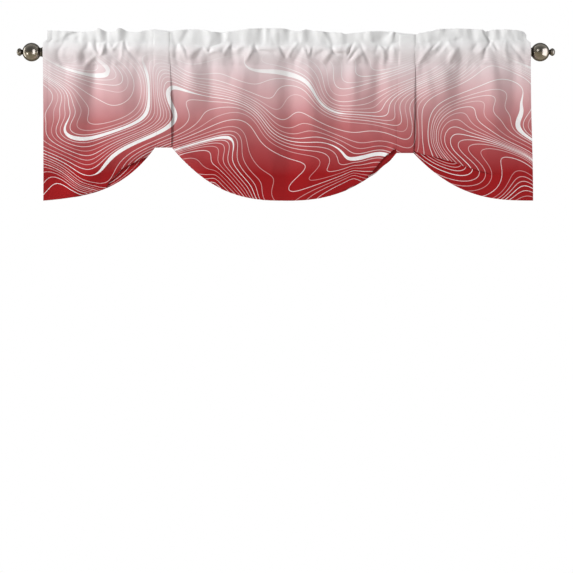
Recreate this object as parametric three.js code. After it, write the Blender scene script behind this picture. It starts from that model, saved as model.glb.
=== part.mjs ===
// A tie-up valance hanging on its curtain rod.
// Millimetres, +Z up. The front of the cloth faces -Y. The origin is the middle of the rod's axis.

import * as THREE from 'three';

// Rod and finials
const ROD_RADIUS = 11;
const ROD_SIDES = 24;
const BALL_RADIUS = 25;
const BALL_FROM_MIDDLE = 684;
const COLLAR_RADIUS = 12;
const COLLAR_RIM_RADIUS = 13.6;
const COLLAR_RIM_WIDTH = 1.8;
const COLLAR_LENGTH = 30;
const NECK_RADIUS = 6.8;
const BUTTON_RADIUS = 10.3;
const BUTTON_HALF_WIDTH = 6.6;
const BUTTON_FROM_BALL = 33.4;
const FINIAL_SIDES = 24;
const TOUCH_GAP = 0.3;

// Cloth
const CLOTH = 1.6;
const HEMMED_CLOTH = 2.6;
const HEADING_CLOTH = 3.2;
const SEAM_CLOTH = 2.6;
const SIDE_HEM = 12;

// Outline of the panel
const LEFT_EDGE = -652.5;
const RIGHT_EDGE = 657.5;
const TOP_SEAM = 27;
const LOW_SEAM = -34;
const LOW_POINT = -399.5;
const MIDDLE_OF_SWAG = -1.3;
const HEADING_INSET = 11;
const RIGHT_EDGE_FLARE = 7.5;
const EDGE_BLEND = 70;

// Rod pocket
const FRONT_BULGE = 22;
const BACK_BULGE = 17;
const ROD_GUARD = 13.9;

// The cloth turns back on itself behind the ties
const FOLD_RADIUS = 2.9;
const SHORTEST_STEP = 1.4;

// Fineness of the panel's mesh
const FRONT_WALL_STEPS = 5;
const BACK_WALL_STEPS = 4;
const HEADING_STEPS = 2;
const DROP_STEPS = 7;
const BEND_STEPS = 3;
const TAIL_STEPS = 2;

// Ties. x is the strap's middle at the heading, lean is how far its lower end lies to the right,
// and top and bottom are its upper ends and its lowest point.
const TIE_WIDTH = 44;
const TIE_CLOTH = 1.8;
const TIE_ROOM = 0.9;
const TIE_CAMBER = 1;
const TIE_BELLY = 17;
const TIE_CORNER = 4;
const TIE_COLUMNS = 4;
const TIES = [
  { name: 'tie_left', x: -333.6, lean: 4, top: 54, bottom: -259 },
  { name: 'tie_right', x: 325.8, lean: -5, top: 46, bottom: -273.8 },
];
const [TIE_L, TIE_R] = TIES;

// The hem between a tie and the low point of its swag or side. A share of its rise is straight and
// the rest follows a power. show is how much of the lower layer looks out below the fold, and reach
// is how far from the tie the fold runs.
const SCALLOPS = [
  { tie: TIE_L, side: -1, low: LEFT_EDGE, straight: 0.2, power: 3.3, show: 19, reach: 160 },
  { tie: TIE_L, side: 1, low: MIDDLE_OF_SWAG, straight: 0, power: 2.6, show: 15, reach: 150 },
  { tie: TIE_R, side: -1, low: MIDDLE_OF_SWAG, straight: 0, power: 2.5, show: 17, reach: 150 },
  { tie: TIE_R, side: 1, low: RIGHT_EDGE, straight: 0, power: 2.65, show: 66, reach: 250 },
];

// The heading's upper edge from left to right: its height, and how far a lobe stands back (+) or
// forward (-) of the seam.
const HEADING = [
  { x: -652, top: 57, lobe: 0 },
  { x: -594, top: 55.5, lobe: -3 },
  { x: -572, top: 56, lobe: 4 },
  { x: -532, top: 55, lobe: -6 },
  { x: -503, top: 62, lobe: 2 },
  { x: -488, top: 58, lobe: 6 },
  { x: -468, top: 55.5, lobe: -5 },
  { x: -436, top: 63, lobe: 6 },
  { x: -404, top: 57, lobe: -3 },
  { x: -356, top: 57.5, lobe: 0 },
  { x: -311, top: 57, lobe: 0 },
  { x: -290, top: 55.5, lobe: -5 },
  { x: -240, top: 56, lobe: -4 },
  { x: -184, top: 52.5, lobe: 6 },
  { x: -145, top: 55, lobe: -5 },
  { x: -84, top: 64, lobe: 6 },
  { x: -45, top: 63, lobe: -6 },
  { x: -2, top: 61, lobe: 5 },
  { x: 34, top: 55.5, lobe: -5 },
  { x: 60, top: 61, lobe: 5 },
  { x: 104, top: 55, lobe: 4 },
  { x: 140, top: 51, lobe: -6 },
  { x: 200, top: 49.5, lobe: -5 },
  { x: 252, top: 52.5, lobe: 6 },
  { x: 300, top: 53, lobe: 0 },
  { x: 346, top: 48, lobe: 0 },
  { x: 382, top: 54, lobe: -6 },
  { x: 422, top: 62, lobe: 4 },
  { x: 455, top: 62.5, lobe: -5 },
  { x: 510, top: 62, lobe: 5 },
  { x: 543, top: 56, lobe: 6 },
  { x: 566, top: 61, lobe: -6 },
  { x: 600, top: 61, lobe: 4 },
  { x: 632, top: 60, lobe: -1 },
  { x: 657, top: 47, lobe: 0 },
];

// Gathers of the rod pocket, at the height of the top seam. depth goes into the cloth (+) or stands
// out of it (-), lean is the sideways run for each millimetre down, and top and foot are the heights
// between which the gather shows.
const GATHERS = [
  { x: -607, lean: 0.33, width: 12, depth: 8, top: 40, foot: -62 },
  { x: -565, lean: 0.1, width: 20, depth: -3, top: 24, foot: -50 },
  { x: -524, lean: -0.15, width: 20, depth: 9, top: 26, foot: -70 },
  { x: -508, lean: 0.3, width: 9, depth: -5, top: 40, foot: -26 },
  { x: -466, lean: 0, width: 17, depth: 9, top: 20, foot: -60 },
  { x: -436, lean: -0.17, width: 9, depth: -6, top: 40, foot: -55 },
  { x: -424, lean: 0.3, width: 9, depth: 8, top: 40, foot: 0 },
  { x: -291, lean: 0.4, width: 11, depth: -6, top: 40, foot: -25 },
  { x: -250, lean: -0.5, width: 18, depth: 8, top: 22, foot: -40 },
  { x: -206, lean: 0.1, width: 9, depth: 6, top: 40, foot: 6 },
  { x: -182, lean: 0, width: 22, depth: -6, top: 40, foot: -16 },
  { x: -123, lean: 0, width: 20, depth: 9, top: 24, foot: -26 },
  { x: -92, lean: -0.5, width: 9, depth: -5, top: 40, foot: -20 },
  { x: -77, lean: 0.4, width: 9, depth: 8, top: 40, foot: 0 },
  { x: -46, lean: 0, width: 20, depth: -6, top: 36, foot: -4 },
  { x: -14, lean: 0.5, width: 11, depth: 8, top: 34, foot: -20 },
  { x: 44, lean: -1, width: 13, depth: 8, top: 24, foot: -30 },
  { x: 94, lean: 0, width: 24, depth: -5, top: 36, foot: -34 },
  { x: 127, lean: 0.5, width: 10, depth: 9, top: 40, foot: -12 },
  { x: 172, lean: -0.45, width: 9, depth: 6, top: 36, foot: -8 },
  { x: 204, lean: 0.42, width: 10, depth: 9, top: 36, foot: -30 },
  { x: 236, lean: 0, width: 14, depth: -5, top: 34, foot: 0 },
  { x: 274, lean: 0, width: 9, depth: 6, top: 30, foot: -14 },
  { x: 384, lean: -0.6, width: 11, depth: 8, top: 30, foot: -46 },
  { x: 425, lean: 0, width: 16, depth: 5, top: 26, foot: -10 },
  { x: 452, lean: -0.3, width: 10, depth: -6, top: 40, foot: -24 },
  { x: 487, lean: 0, width: 22, depth: 8, top: 24, foot: -30 },
  { x: 520, lean: -0.6, width: 10, depth: -6, top: 40, foot: -6 },
  { x: 542, lean: -0.35, width: 9, depth: 9, top: 44, foot: -12 },
  { x: 600, lean: 0, width: 12, depth: -6, top: 40, foot: -18 },
  { x: 618, lean: 0.6, width: 13, depth: 8, top: 28, foot: -30 },
];

// Broad folds of the hanging cloth, at the height of the low seam, with the same columns.
const DRAPES = [
  { x: -532, lean: 0.05, width: 34, depth: 7, top: -20, foot: -190 },
  { x: -446, lean: 0, width: 18, depth: 3, top: -20, foot: -130 },
  { x: -392, lean: 0.05, width: 24, depth: -3, top: -30, foot: -160 },
  { x: -217, lean: 0, width: 26, depth: 4, top: -20, foot: -130 },
  { x: -123, lean: -0.05, width: 34, depth: -5, top: -30, foot: -270 },
  { x: -10, lean: 0, width: 32, depth: 7, top: -20, foot: -340 },
  { x: 54, lean: 0, width: 26, depth: -4, top: -30, foot: -220 },
  { x: 121, lean: 0, width: 28, depth: 5, top: -80, foot: -260 },
  { x: 172, lean: 0, width: 20, depth: -4, top: -30, foot: -170 },
  { x: 242, lean: 0, width: 20, depth: 5, top: -20, foot: -170 },
  { x: 392, lean: 0, width: 22, depth: -4, top: -30, foot: -140 },
  { x: 471, lean: 0, width: 38, depth: 6, top: -20, foot: -200 },
  { x: 549, lean: 0, width: 24, depth: -5, top: -30, foot: -240 },
  { x: 610, lean: 0.1, width: 18, depth: 3, top: -20, foot: -140 },
];
const GATHER_FADE = 12;
const DRAPE_FADE = 50;

const MATERIALS = {
  cloth: new THREE.MeshStandardMaterial({ color: 0xc97f84, roughness: 0.85, metalness: 0 }),
  metal: new THREE.MeshStandardMaterial({ color: 0x8f8778, roughness: 0.32, metalness: 1 }),
};

// Small helpers

function blend(a, b, t) {
  return a + (b - a) * t;
}

function smooth(from, to, value) {
  const t = Math.min(Math.max((value - from) / (to - from), 0), 1);
  return t * t * (3 - 2 * t);
}

function bell(offset, width) {
  return Math.exp(-((offset / width) ** 2));
}

// 1 on the cloth that lies under a tie, fading to 0 beside it
function underTie(x, z = TOP_SEAM) {
  let most = 0;
  for (const tie of TIES) {
    const middle = tie.x + tie.lean * (TOP_SEAM - z) / (TOP_SEAM - tie.bottom);
    const away = Math.abs(x - middle) - TIE_WIDTH / 2;
    most = Math.max(most, 1 - smooth(3, 22, away));
  }
  return most;
}

// Depth of all the folds in a table at one place
function folds(table, fade, start, x, z) {
  let depth = 0;
  for (const row of table) {
    const middle = row.x + row.lean * (start - z);
    const shows = smooth(row.foot - fade, row.foot + fade, z) * (1 - smooth(row.top - fade, row.top + fade, z));
    depth += row.depth * shows * bell(x - middle, row.width);
  }
  return depth;
}

function foldDepth(x, z) {
  const gathers = folds(GATHERS, GATHER_FADE, TOP_SEAM, x, z);
  const drapes = folds(DRAPES, DRAPE_FADE, LOW_SEAM, x, z);
  return (gathers + drapes) * (1 - underTie(x, z));
}

// A column of the heading's table at one place, eased between its rows
function headingValue(column, x) {
  const after = HEADING.findIndex((row) => row.x >= x);
  if (after < 1) return HEADING[after < 0 ? HEADING.length - 1 : 0][column];
  const [from, to] = [HEADING[after - 1], HEADING[after]];
  return blend(from[column], to[column], smooth(from.x, to.x, x));
}

// The hem and the fold behind the ties

function tieEdge(scallop) {
  return scallop.tie.x + scallop.tie.lean + scallop.side * TIE_WIDTH / 2;
}

function scallopAt(x) {
  return SCALLOPS.find((row) => {
    const edge = tieEdge(row);
    return (x - edge) * row.side >= 0 && (x - row.low) * row.side <= 0;
  });
}

// Heights of the hem and of the fold above it, the drawn-up length behind the fold, and how far the
// cloth turns there: PI where it lies fully folded, 0 where it hangs straight
function hemAt(x) {
  const scallop = scallopAt(x);
  if (!scallop) {
    const tie = x < MIDDLE_OF_SWAG ? TIE_L : TIE_R;
    const floor = tie.bottom + TIE_CLOTH + TIE_ROOM + CLOTH / 2;
    return { hem: floor, fold: floor, leg: (floor - LOW_POINT) / 2, turn: Math.PI };
  }
  const floor = scallop.tie.bottom + TIE_CLOTH + TIE_ROOM + CLOTH / 2;
  const edge = tieEdge(scallop);
  const away = Math.abs(x - edge);
  const near = 1 - Math.min(away / Math.abs(scallop.low - edge), 1);
  const rise = scallop.straight * near + (1 - scallop.straight) * near ** scallop.power;
  const hem = blend(LOW_POINT, floor, rise);
  const show = scallop.show * smooth(0, 0.55, away / scallop.reach);
  const leg = (hem - LOW_POINT) / 2 * (1 - smooth(0.3, 0.9, away / scallop.reach));
  return { hem, fold: hem + show, leg, turn: Math.PI * (1 - smooth(0.6, 1, away / scallop.reach)) };
}

// One cross-section of the cloth's middle surface, as rows of points for the body, both walls of the
// pocket and the heading

function pointAt(x, y, z) {
  const fromLeft = 1 - smooth(0, EDGE_BLEND, x - LEFT_EDGE);
  const fromRight = 1 - smooth(0, EDGE_BLEND, RIGHT_EDGE - x);
  const heading = smooth(TOP_SEAM - 6, TOP_SEAM + 14, z);
  const below = smooth(0, LOW_POINT, z);
  const shift = HEADING_INSET * heading * (fromLeft - fromRight) + RIGHT_EDGE_FLARE * below * fromRight;
  return new THREE.Vector3(x + shift, y, z);
}

// How far back a full turn of the cloth carries it, walked in its few straight steps
function bendDepth() {
  let depth = 0;
  for (let i = 0; i < BEND_STEPS; i++) depth += Math.sin(Math.PI * (i + 0.5) / BEND_STEPS);
  return depth * FOLD_RADIUS * Math.PI / BEND_STEPS;
}

function bodyRow(x) {
  const { hem, fold, leg, turn } = hemAt(x);
  const turned = Math.sin(Math.min(turn, Math.PI / 2));
  const start = fold + FOLD_RADIUS * turned;
  const bendStep = Math.max(FOLD_RADIUS * turn / BEND_STEPS, SHORTEST_STEP);
  const row = [];
  for (let i = 0; i <= DROP_STEPS; i++) row.push([0, blend(LOW_SEAM, start, i / DROP_STEPS)]);
  const walk = (length, angle) => {
    const [y, z] = row.at(-1);
    row.push([y + length * Math.sin(angle), z - length * Math.cos(angle)]);
  };
  for (let i = 0; i < BEND_STEPS; i++) walk(bendStep, turn * (i + 0.5) / BEND_STEPS);
  walk(Math.max(leg, SHORTEST_STEP), turn);
  for (let i = 0; i < BEND_STEPS; i++) walk(bendStep, turn * (1 - (i + 0.5) / BEND_STEPS));
  const [tailY, tailZ] = row.at(-1);
  for (let i = 1; i <= TAIL_STEPS; i++) row.push([tailY, blend(tailZ, hem, i / TAIL_STEPS)]);
  return row.map(([y, z]) => pointAt(x, y + foldDepth(x, z) * smooth(LOW_SEAM + 2, LOW_SEAM - 30, z), z));
}

function wallRow(x, steps, bulge, side) {
  const row = [];
  for (let i = 0; i <= steps; i++) {
    const t = i / steps;
    const z = blend(LOW_SEAM, TOP_SEAM, t);
    const lens = bulge * Math.sin(Math.PI * t) ** 0.75;
    const guard = Math.sqrt(Math.max(ROD_GUARD ** 2 - z ** 2, 0));
    const flat = side < 0 ? underTie(x) * (bulge - TIE_BELLY) * Math.sin(Math.PI * t) : 0;
    const gather = side < 0 ? foldDepth(x, z) : backRipple(x) * Math.sin(Math.PI * t);
    const out = Math.max(lens - gather * Math.sin(Math.PI * t) ** 0.4 - flat, guard);
    row.push(pointAt(x, i === 0 || i === steps ? 0 : side * out, z));
  }
  return row;
}

// The back wall's gathers are three waves of lengths that never meet in step
function backRipple(x) {
  const ripple = 2.2 * Math.sin(x / 9.7) + 1.6 * Math.sin(x / 15.1 + 1) + 1.2 * Math.sin(x / 23.3 + 2);
  return ripple * (1 - underTie(x));
}

function headingRow(x) {
  const top = headingValue('top', x);
  const lobe = headingValue('lobe', x) * (1 - underTie(x));
  const row = [];
  for (let i = 0; i <= HEADING_STEPS; i++) {
    const t = i / HEADING_STEPS;
    row.push(pointAt(x, lobe * t ** 0.8, blend(TOP_SEAM, top - HEADING_CLOTH / 2, t)));
  }
  return row;
}

// Surfaces

// Points moved to the left and right of a sheet of rows by half its thickness
function thicken(sheet, halfAt) {
  const last = sheet.length - 1;
  return sheet.map((row, i) => row.map((point, j) => {
    const across = sheet[Math.min(i + 1, last)][j].clone().sub(sheet[Math.max(i - 1, 0)][j]);
    const along = row[Math.min(j + 1, row.length - 1)].clone().sub(row[Math.max(j - 1, 0)]);
    const normal = across.cross(along).normalize().multiplyScalar(halfAt(point.x, j));
    return [point.clone().add(normal), point.clone().sub(normal)];
  }));
}

// A tube of triangles through loops of points, one loop for each station
function skin(loops, firstIndex, inward, triangles) {
  const count = loops[0].length;
  for (let i = 0; i + 1 < loops.length; i++) {
    for (let j = 0; j < count; j++) {
      const a = firstIndex + i * count + j;
      const b = firstIndex + i * count + (j + 1) % count;
      const [c, d] = [a + count, b + count];
      if (inward) triangles.push(a, b, d, a, d, c);
      else triangles.push(a, d, b, a, c, d);
    }
  }
}

// An end of the tube, with the tunnel left open
function cap(outer, inner, outerIndex, innerIndex, facing, triangles) {
  const flat = (loop) => loop.map((point) => new THREE.Vector2(point.y, point.z));
  const [contour, hole] = [flat(outer), flat(inner)];
  const all = [...contour, ...hole];
  const indexOf = (k) => (k < outer.length ? outerIndex + k : innerIndex + k - outer.length);
  for (const [a, b, c] of THREE.ShapeUtils.triangulateShape(contour, inner.length ? [hole] : [])) {
    const turn = (all[b].x - all[a].x) * (all[c].y - all[a].y) - (all[b].y - all[a].y) * (all[c].x - all[a].x);
    if (turn * facing > 0) triangles.push(indexOf(a), indexOf(b), indexOf(c));
    else triangles.push(indexOf(a), indexOf(c), indexOf(b));
  }
}

function closedBody(outerLoops, innerLoops = []) {
  const triangles = [];
  const points = [...outerLoops.flat(), ...innerLoops.flat()];
  const innerStart = outerLoops.flat().length;
  const lastOuter = innerStart - outerLoops.at(-1).length;
  skin(outerLoops, 0, false, triangles);
  if (innerLoops.length) skin(innerLoops, innerStart, true, triangles);
  const lastInner = points.length - (innerLoops.at(-1)?.length ?? 0);
  cap(outerLoops[0], innerLoops[0] ?? [], 0, innerStart, -1, triangles);
  cap(outerLoops.at(-1), innerLoops.at(-1) ?? [], lastOuter, lastInner, 1, triangles);
  const geometry = new THREE.BufferGeometry().setFromPoints(points);
  geometry.setIndex(triangles);
  geometry.computeVertexNormals();
  return geometry;
}

// The panel

function stations() {
  const spans = [
    { to: tieEdge(SCALLOPS[0]), steps: 20 },
    { to: tieEdge(SCALLOPS[1]), steps: 4 },
    { to: tieEdge(SCALLOPS[2]), steps: 40 },
    { to: tieEdge(SCALLOPS[3]), steps: 4 },
    { to: RIGHT_EDGE, steps: 21 },
  ];
  const places = [LEFT_EDGE];
  for (const { to, steps } of spans) {
    const from = places.at(-1);
    for (let i = 1; i <= steps; i++) places.push(blend(from, to, i / steps));
  }
  return places;
}

function panel() {
  const places = stations();
  const nearSide = (x) => x - LEFT_EDGE < SIDE_HEM || RIGHT_EDGE - x < SIDE_HEM;
  const bodyRows = places.map(bodyRow);
  const lastBody = bodyRows[0].length - 1;
  const bodyHalf = (x, j) => (nearSide(x) || j >= lastBody - 1 ? HEMMED_CLOTH : CLOTH) / 2;
  const body = thicken(bodyRows, (x, j) => (j === 0 ? SEAM_CLOTH / 2 : bodyHalf(x, j)));
  const front = thicken(places.map((x) => wallRow(x, FRONT_WALL_STEPS, FRONT_BULGE, -1)), () => CLOTH / 2);
  const back = thicken(places.map((x) => wallRow(x, BACK_WALL_STEPS, BACK_BULGE, 1)), () => CLOTH / 2);
  const heading = thicken(places.map(headingRow), () => HEADING_CLOTH / 2);

  const outer = [];
  const inner = [];
  places.forEach((x, i) => {
    // thicken gives [towards the back, towards the front] on rows that run down, and the other way
    // round on rows that run up
    const down = body[i];
    const up = heading[i];
    const frontWall = front[i].slice(1, -1);
    const backWall = back[i].slice(1, -1);
    outer.push([
      ...down.map((pair) => pair[1]).reverse(),
      ...frontWall.map((pair) => pair[0]),
      ...up.map((pair) => pair[0]),
      ...up.map((pair) => pair[1]).reverse(),
      ...backWall.map((pair) => pair[1]).reverse(),
      ...down.map((pair) => pair[0]),
    ]);
    const foot = pointAt(x, 0, LOW_SEAM + SEAM_CLOTH);
    const head = pointAt(x, 0, TOP_SEAM - HEADING_CLOTH);
    inner.push([
      foot,
      ...frontWall.map((pair) => pair[1]),
      head,
      ...backWall.map((pair) => pair[0]).reverse(),
    ]);
  });
  return closedBody(outer, inner);
}

// The ties

// The strap's route seen from the side: down the front, under the drawn-up cloth and up the back
function tieRoute(tie) {
  const offset = TIE_CLOTH / 2 + TIE_ROOM;
  const headingFace = HEADING_CLOTH / 2 + offset;
  const frontBelly = TIE_BELLY + CLOTH / 2 + offset + TIE_CAMBER;
  const backBelly = BACK_BULGE + CLOTH / 2 + offset + TIE_ROOM;
  const stackBack = 2 * bendDepth() + HEMMED_CLOTH / 2 + offset + TIE_ROOM;
  const stackFront = CLOTH / 2 + offset + TIE_CAMBER;
  const low = tie.bottom + TIE_CLOTH / 2;
  const route = [
    [-headingFace - TIE_CAMBER, tie.top],
    [-headingFace - TIE_CAMBER, TOP_SEAM + 1],
    [-frontBelly * 0.72, 16],
    [-frontBelly * 0.97, 4],
    [-frontBelly, -4],
    [-frontBelly * 0.93, -16],
  ];
  for (let i = 1; i <= 3; i++) {
    route.push([blend(-frontBelly * 0.93, -stackFront, i / 4), blend(-16, low + TIE_CORNER, i / 4)]);
  }
  for (const degrees of [0, 45, 90]) {
    const angle = THREE.MathUtils.degToRad(degrees);
    route.push([-stackFront + TIE_CORNER * (1 - Math.cos(angle)), low + TIE_CORNER * (1 - Math.sin(angle))]);
  }
  for (const degrees of [90, 45, 0]) {
    const angle = THREE.MathUtils.degToRad(degrees);
    route.push([stackBack - TIE_CORNER * (1 - Math.cos(angle)), low + TIE_CORNER * (1 - Math.sin(angle))]);
  }
  for (let i = 1; i <= 3; i++) {
    route.push([blend(stackBack, backBelly, i / 4), blend(low + TIE_CORNER, -16, i / 4)]);
  }
  route.push(
    [backBelly, -14],
    [backBelly, 2],
    [backBelly * 0.8, 14],
    [headingFace + 0.4, TOP_SEAM + 1],
    [headingFace, tie.top],
  );
  return route;
}

function tieStrap(tie) {
  const route = tieRoute(tie);
  const columns = [];
  for (let i = 0; i <= TIE_COLUMNS; i++) {
    const across = i / TIE_COLUMNS * 2 - 1;
    columns.push(route.map(([y, z]) => {
      const camber = y < 0 ? TIE_CAMBER * (across ** 2) : 0;
      const lean = tie.lean * (TOP_SEAM - z) / (TOP_SEAM - tie.bottom);
      return new THREE.Vector3(tie.x + lean + across * TIE_WIDTH / 2, y + camber, z);
    }));
  }
  const sides = thicken(columns, () => TIE_CLOTH / 2);
  return closedBody(sides.map((column) => [
    ...column.map((pair) => pair[0]),
    ...column.map((pair) => pair[1]).reverse(),
  ]));
}

// The rod and its finials

function rod() {
  const length = 2 * (BALL_FROM_MIDDLE - COLLAR_LENGTH - TOUCH_GAP);
  return new THREE.CylinderGeometry(ROD_RADIUS, ROD_RADIUS, length, ROD_SIDES);
}

// Half outline of a finial from its collar's rim to its button, along the rod's axis
function finialOutline() {
  const outline = [
    [0, -COLLAR_LENGTH],
    [COLLAR_RIM_RADIUS, -COLLAR_LENGTH],
    [COLLAR_RIM_RADIUS, COLLAR_RIM_WIDTH - COLLAR_LENGTH],
    [COLLAR_RADIUS, 2 * COLLAR_RIM_WIDTH - COLLAR_LENGTH],
  ];
  const ballFrom = Math.asin(COLLAR_RADIUS / BALL_RADIUS);
  const ballTo = Math.PI - Math.asin(NECK_RADIUS / BALL_RADIUS);
  for (let i = 0; i <= 9; i++) {
    const angle = blend(ballFrom, ballTo, i / 9);
    outline.push([BALL_RADIUS * Math.sin(angle), -BALL_RADIUS * Math.cos(angle)]);
  }
  const buttonFrom = Math.asin(NECK_RADIUS / BUTTON_RADIUS);
  for (let i = 0; i <= 5; i++) {
    const angle = blend(buttonFrom, Math.PI, i / 5);
    const radius = i === 5 ? 0 : BUTTON_RADIUS * Math.sin(angle);
    outline.push([radius, BUTTON_FROM_BALL - BUTTON_HALF_WIDTH * Math.cos(angle)]);
  }
  return outline.map(([radius, along]) => new THREE.Vector2(radius, along));
}

function finial() {
  return new THREE.LatheGeometry(finialOutline(), FINIAL_SIDES);
}

// The whole valance

function named(name, geometry, material) {
  const mesh = new THREE.Mesh(geometry, material);
  mesh.name = name;
  return mesh;
}

const valance = new THREE.Group();
valance.add(named('valance_panel', panel(), MATERIALS.cloth));
for (const tie of TIES) valance.add(named(tie.name, tieStrap(tie), MATERIALS.cloth));

const rodMesh = named('rod', rod(), MATERIALS.metal);
rodMesh.rotation.z = Math.PI / 2;
valance.add(rodMesh);

for (const [name, side] of [['finial_left', -1], ['finial_right', 1]]) {
  const end = named(name, finial(), MATERIALS.metal);
  end.position.x = side * BALL_FROM_MIDDLE;
  end.rotation.z = -side * Math.PI / 2;
  valance.add(end);
}

export default valance;
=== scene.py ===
"""Tie-up valance on its curtain rod: cloth, straps, stitches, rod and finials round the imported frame."""

import math

import bmesh
import bpy
import numpy as np
from bpy.props import FloatProperty, FloatVectorProperty, IntProperty, PointerProperty
from mathutils import Matrix, Vector


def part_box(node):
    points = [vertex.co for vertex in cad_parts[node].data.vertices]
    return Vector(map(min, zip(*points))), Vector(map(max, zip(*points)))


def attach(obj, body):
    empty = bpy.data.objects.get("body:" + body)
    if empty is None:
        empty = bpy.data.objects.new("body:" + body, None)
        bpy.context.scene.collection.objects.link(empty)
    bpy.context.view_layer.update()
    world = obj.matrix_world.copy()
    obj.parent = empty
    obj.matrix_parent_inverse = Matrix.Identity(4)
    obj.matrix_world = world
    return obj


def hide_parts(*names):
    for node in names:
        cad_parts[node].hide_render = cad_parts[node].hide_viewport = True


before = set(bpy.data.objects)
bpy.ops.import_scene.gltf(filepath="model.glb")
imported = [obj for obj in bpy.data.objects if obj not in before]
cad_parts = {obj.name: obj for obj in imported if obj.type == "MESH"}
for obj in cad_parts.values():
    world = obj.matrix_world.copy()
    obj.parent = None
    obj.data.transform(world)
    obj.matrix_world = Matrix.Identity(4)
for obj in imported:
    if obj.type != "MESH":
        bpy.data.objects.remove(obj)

bl_info = {
    "name": "Tie-up Valance",
    "version": (1, 0, 0),
    "blender": (4, 5, 0),
    "location": "View3D > Sidebar > Valance",
    "description": "Cloth, straps, stitches, rod and finials of a tie-up valance",
    "category": "Object",
}

MM = 0.001
TAU = 2 * math.pi

# The photograph's width in pixels, its scale in millimetres for each pixel, and the place across and
# up that the camera looks at
PHOTO_WIDTH, PHOTO_SCALE = 573, 2.69
VIEW_MIDDLE = (1.6, -630.5)

# The cloth as it hangs, in millimetres in the frame's own axes: +X right, +Y back, +Z up
LEFT_EDGE, RIGHT_EDGE = -652.5, 657.5
TOP_SEAM, LOW_SEAM = 27.0, -34.0
LOW_POINT = -399.5
SWAG_MIDDLE = -1.3
HEADING_INSET = 11.0
RIGHT_EDGE_FLARE = 7.5
EDGE_BLEND = 70.0
FRONT_BULGE, BACK_BULGE = 17.0, 17.0
TOP_FORWARD, LOW_FORWARD = 6.0, 8.0
ROD_GUARD = 12.0
TURN_RADIUS = 1.1
SHORTEST_STEP = 0.35
# Room that the rows of the fold need where nothing is folded
UNFOLDED_ROOM = 14 * SHORTEST_STEP
SIDE_HEM, BOTTOM_HEM = 11.0, 9.0
SIDE_HEM_STEP, BOTTOM_HEM_STEP = 0.5, 0.45
HEADING_LOFT = 1.2
LAYER_GAP = 0.9
# From the frame's middle to the middle of a ball finial
BALL_PLACE = 684.0
# Share of the relief that the seams leave, how far they hold the cloth, and the groove they press in
SEAM_HOLD, SEAM_REACH = 0.9, 16.0
SEAM_GROOVE, GROOVE_WIDTH = 0.5, 1.6
# Share of a fold's length over which it fades at both ends, and how far the gathers run out below
GATHER_FADE, DRAPE_FADE, PULL_FADE = 0.24, 0.3, 0.25
RUN_OUT = 0.42
CRUMPLE_WAVES, CRUMPLE_SHARE = 14, 0.012

# The flat cloth before it was gathered, and its lengths over the pocket's front, the heading's front
# and back, each row of the turn at the heading's edge, the pocket's back and below the seam there
FLAT_WIDTH, FLAT_LENGTH = 1524.0, 600.0
FLAT_POCKET, FLAT_HEADING, FLAT_TURN, FLAT_BACK, SEAM_ALLOWANCE = 78.0, 30.0, 0.9, 72.0, 4

# Rows of the cloth's grid, from the hem up the front, over the heading (whose edge turns by these
# angles) and down the pocket's back, and the rows that lie on the seams
BODY_ROWS, TURN_ROWS, LEG_ROWS, TAIL_ROWS = 34, 5, 5, 4
POCKET_ROWS, HEADING_ROWS, BACK_HEADING_ROWS, BACK_POCKET_ROWS = 24, 13, 7, 12
HEADING_TURN = (45, 90, 135, 180)
LOW_SEAM_ROW = BODY_ROWS + 2 * TURN_ROWS + LEG_ROWS + TAIL_ROWS
TOP_SEAM_ROW = LOW_SEAM_ROW + POCKET_ROWS
BACK_SEAM_ROW = TOP_SEAM_ROW + HEADING_ROWS + len(HEADING_TURN) + BACK_HEADING_ROWS

# Straps: middle at the heading, sideways run of the lower end, upper end, lowest point, and how
# loosely the strap hangs in front of the body
STRAP_WIDTH = 44.0
STRAP_BELLY = 15.5
STRAP_CORNER = 4.0
STRAPS = {
    "tie_left": {"x": -333.6, "lean": 4.0, "top": 54.0, "bottom": -259.0, "loose": 1.0},
    "tie_right": {"x": 325.8, "lean": -5.0, "top": 46.0, "bottom": -273.8, "loose": 0.45},
}
# Thickness of the straps and the cloth as solids, and the room between them
CAD_STRAP, CAD_CLOTH = 1.8, 1.6
STRAP_ROOM = 0.9
STRAP_CAMBER = 0.8
STRAP_GAP = 0.4
STRAP_RIPPLE = 0.15
STRAP_SINK = 1.6
STRAP_SAG = 3.0
STRAP_SEAM = 4.0
STRAP_ROWS, STRAP_COLUMNS = 160, 16
# A stitch is flatter than it is wide, and lies this share of its thread's thickness above the cloth
STITCH_WIDE, STITCH_FLAT, STITCH_LIFT = 1.1, 0.8, 0.2
# How much of the dark finish the plain rod keeps, and the rounding of its ends
ROD_TARNISH, ROD_ROUNDING = 0.15, 0.8
FLOOR_HEIGHT = -2.1
# Where the print lies on a strap: its height, and the height on the flat cloth
STRAP_PRINT = ((LOW_POINT, 0), (LOW_SEAM, 365.5), (TOP_SEAM, 443.5), (60, 474))
# The outermost column or row of a sheet is this narrow, so that its edge looks crisp
NARROW = 0.35

# The hem from a strap to the low point of its swag or side: strap, side, low point, straight share,
# power of the rest, how far the cloth stays folded under, and the depth of the hem's first two lobes
SCALLOPS = (
    ("tie_left", -1, LEFT_EDGE, 0.2, 3.3, 220, 0.0),
    ("tie_left", 1, SWAG_MIDDLE, 0.0, 2.6, 150, 0.0),
    ("tie_right", -1, SWAG_MIDDLE, 0.0, 2.5, 150, 2.5),
    ("tie_right", 1, RIGHT_EDGE, 0.0, 2.65, 250, 0.0),
)
LOBE_WIDTH = 38.0

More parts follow.
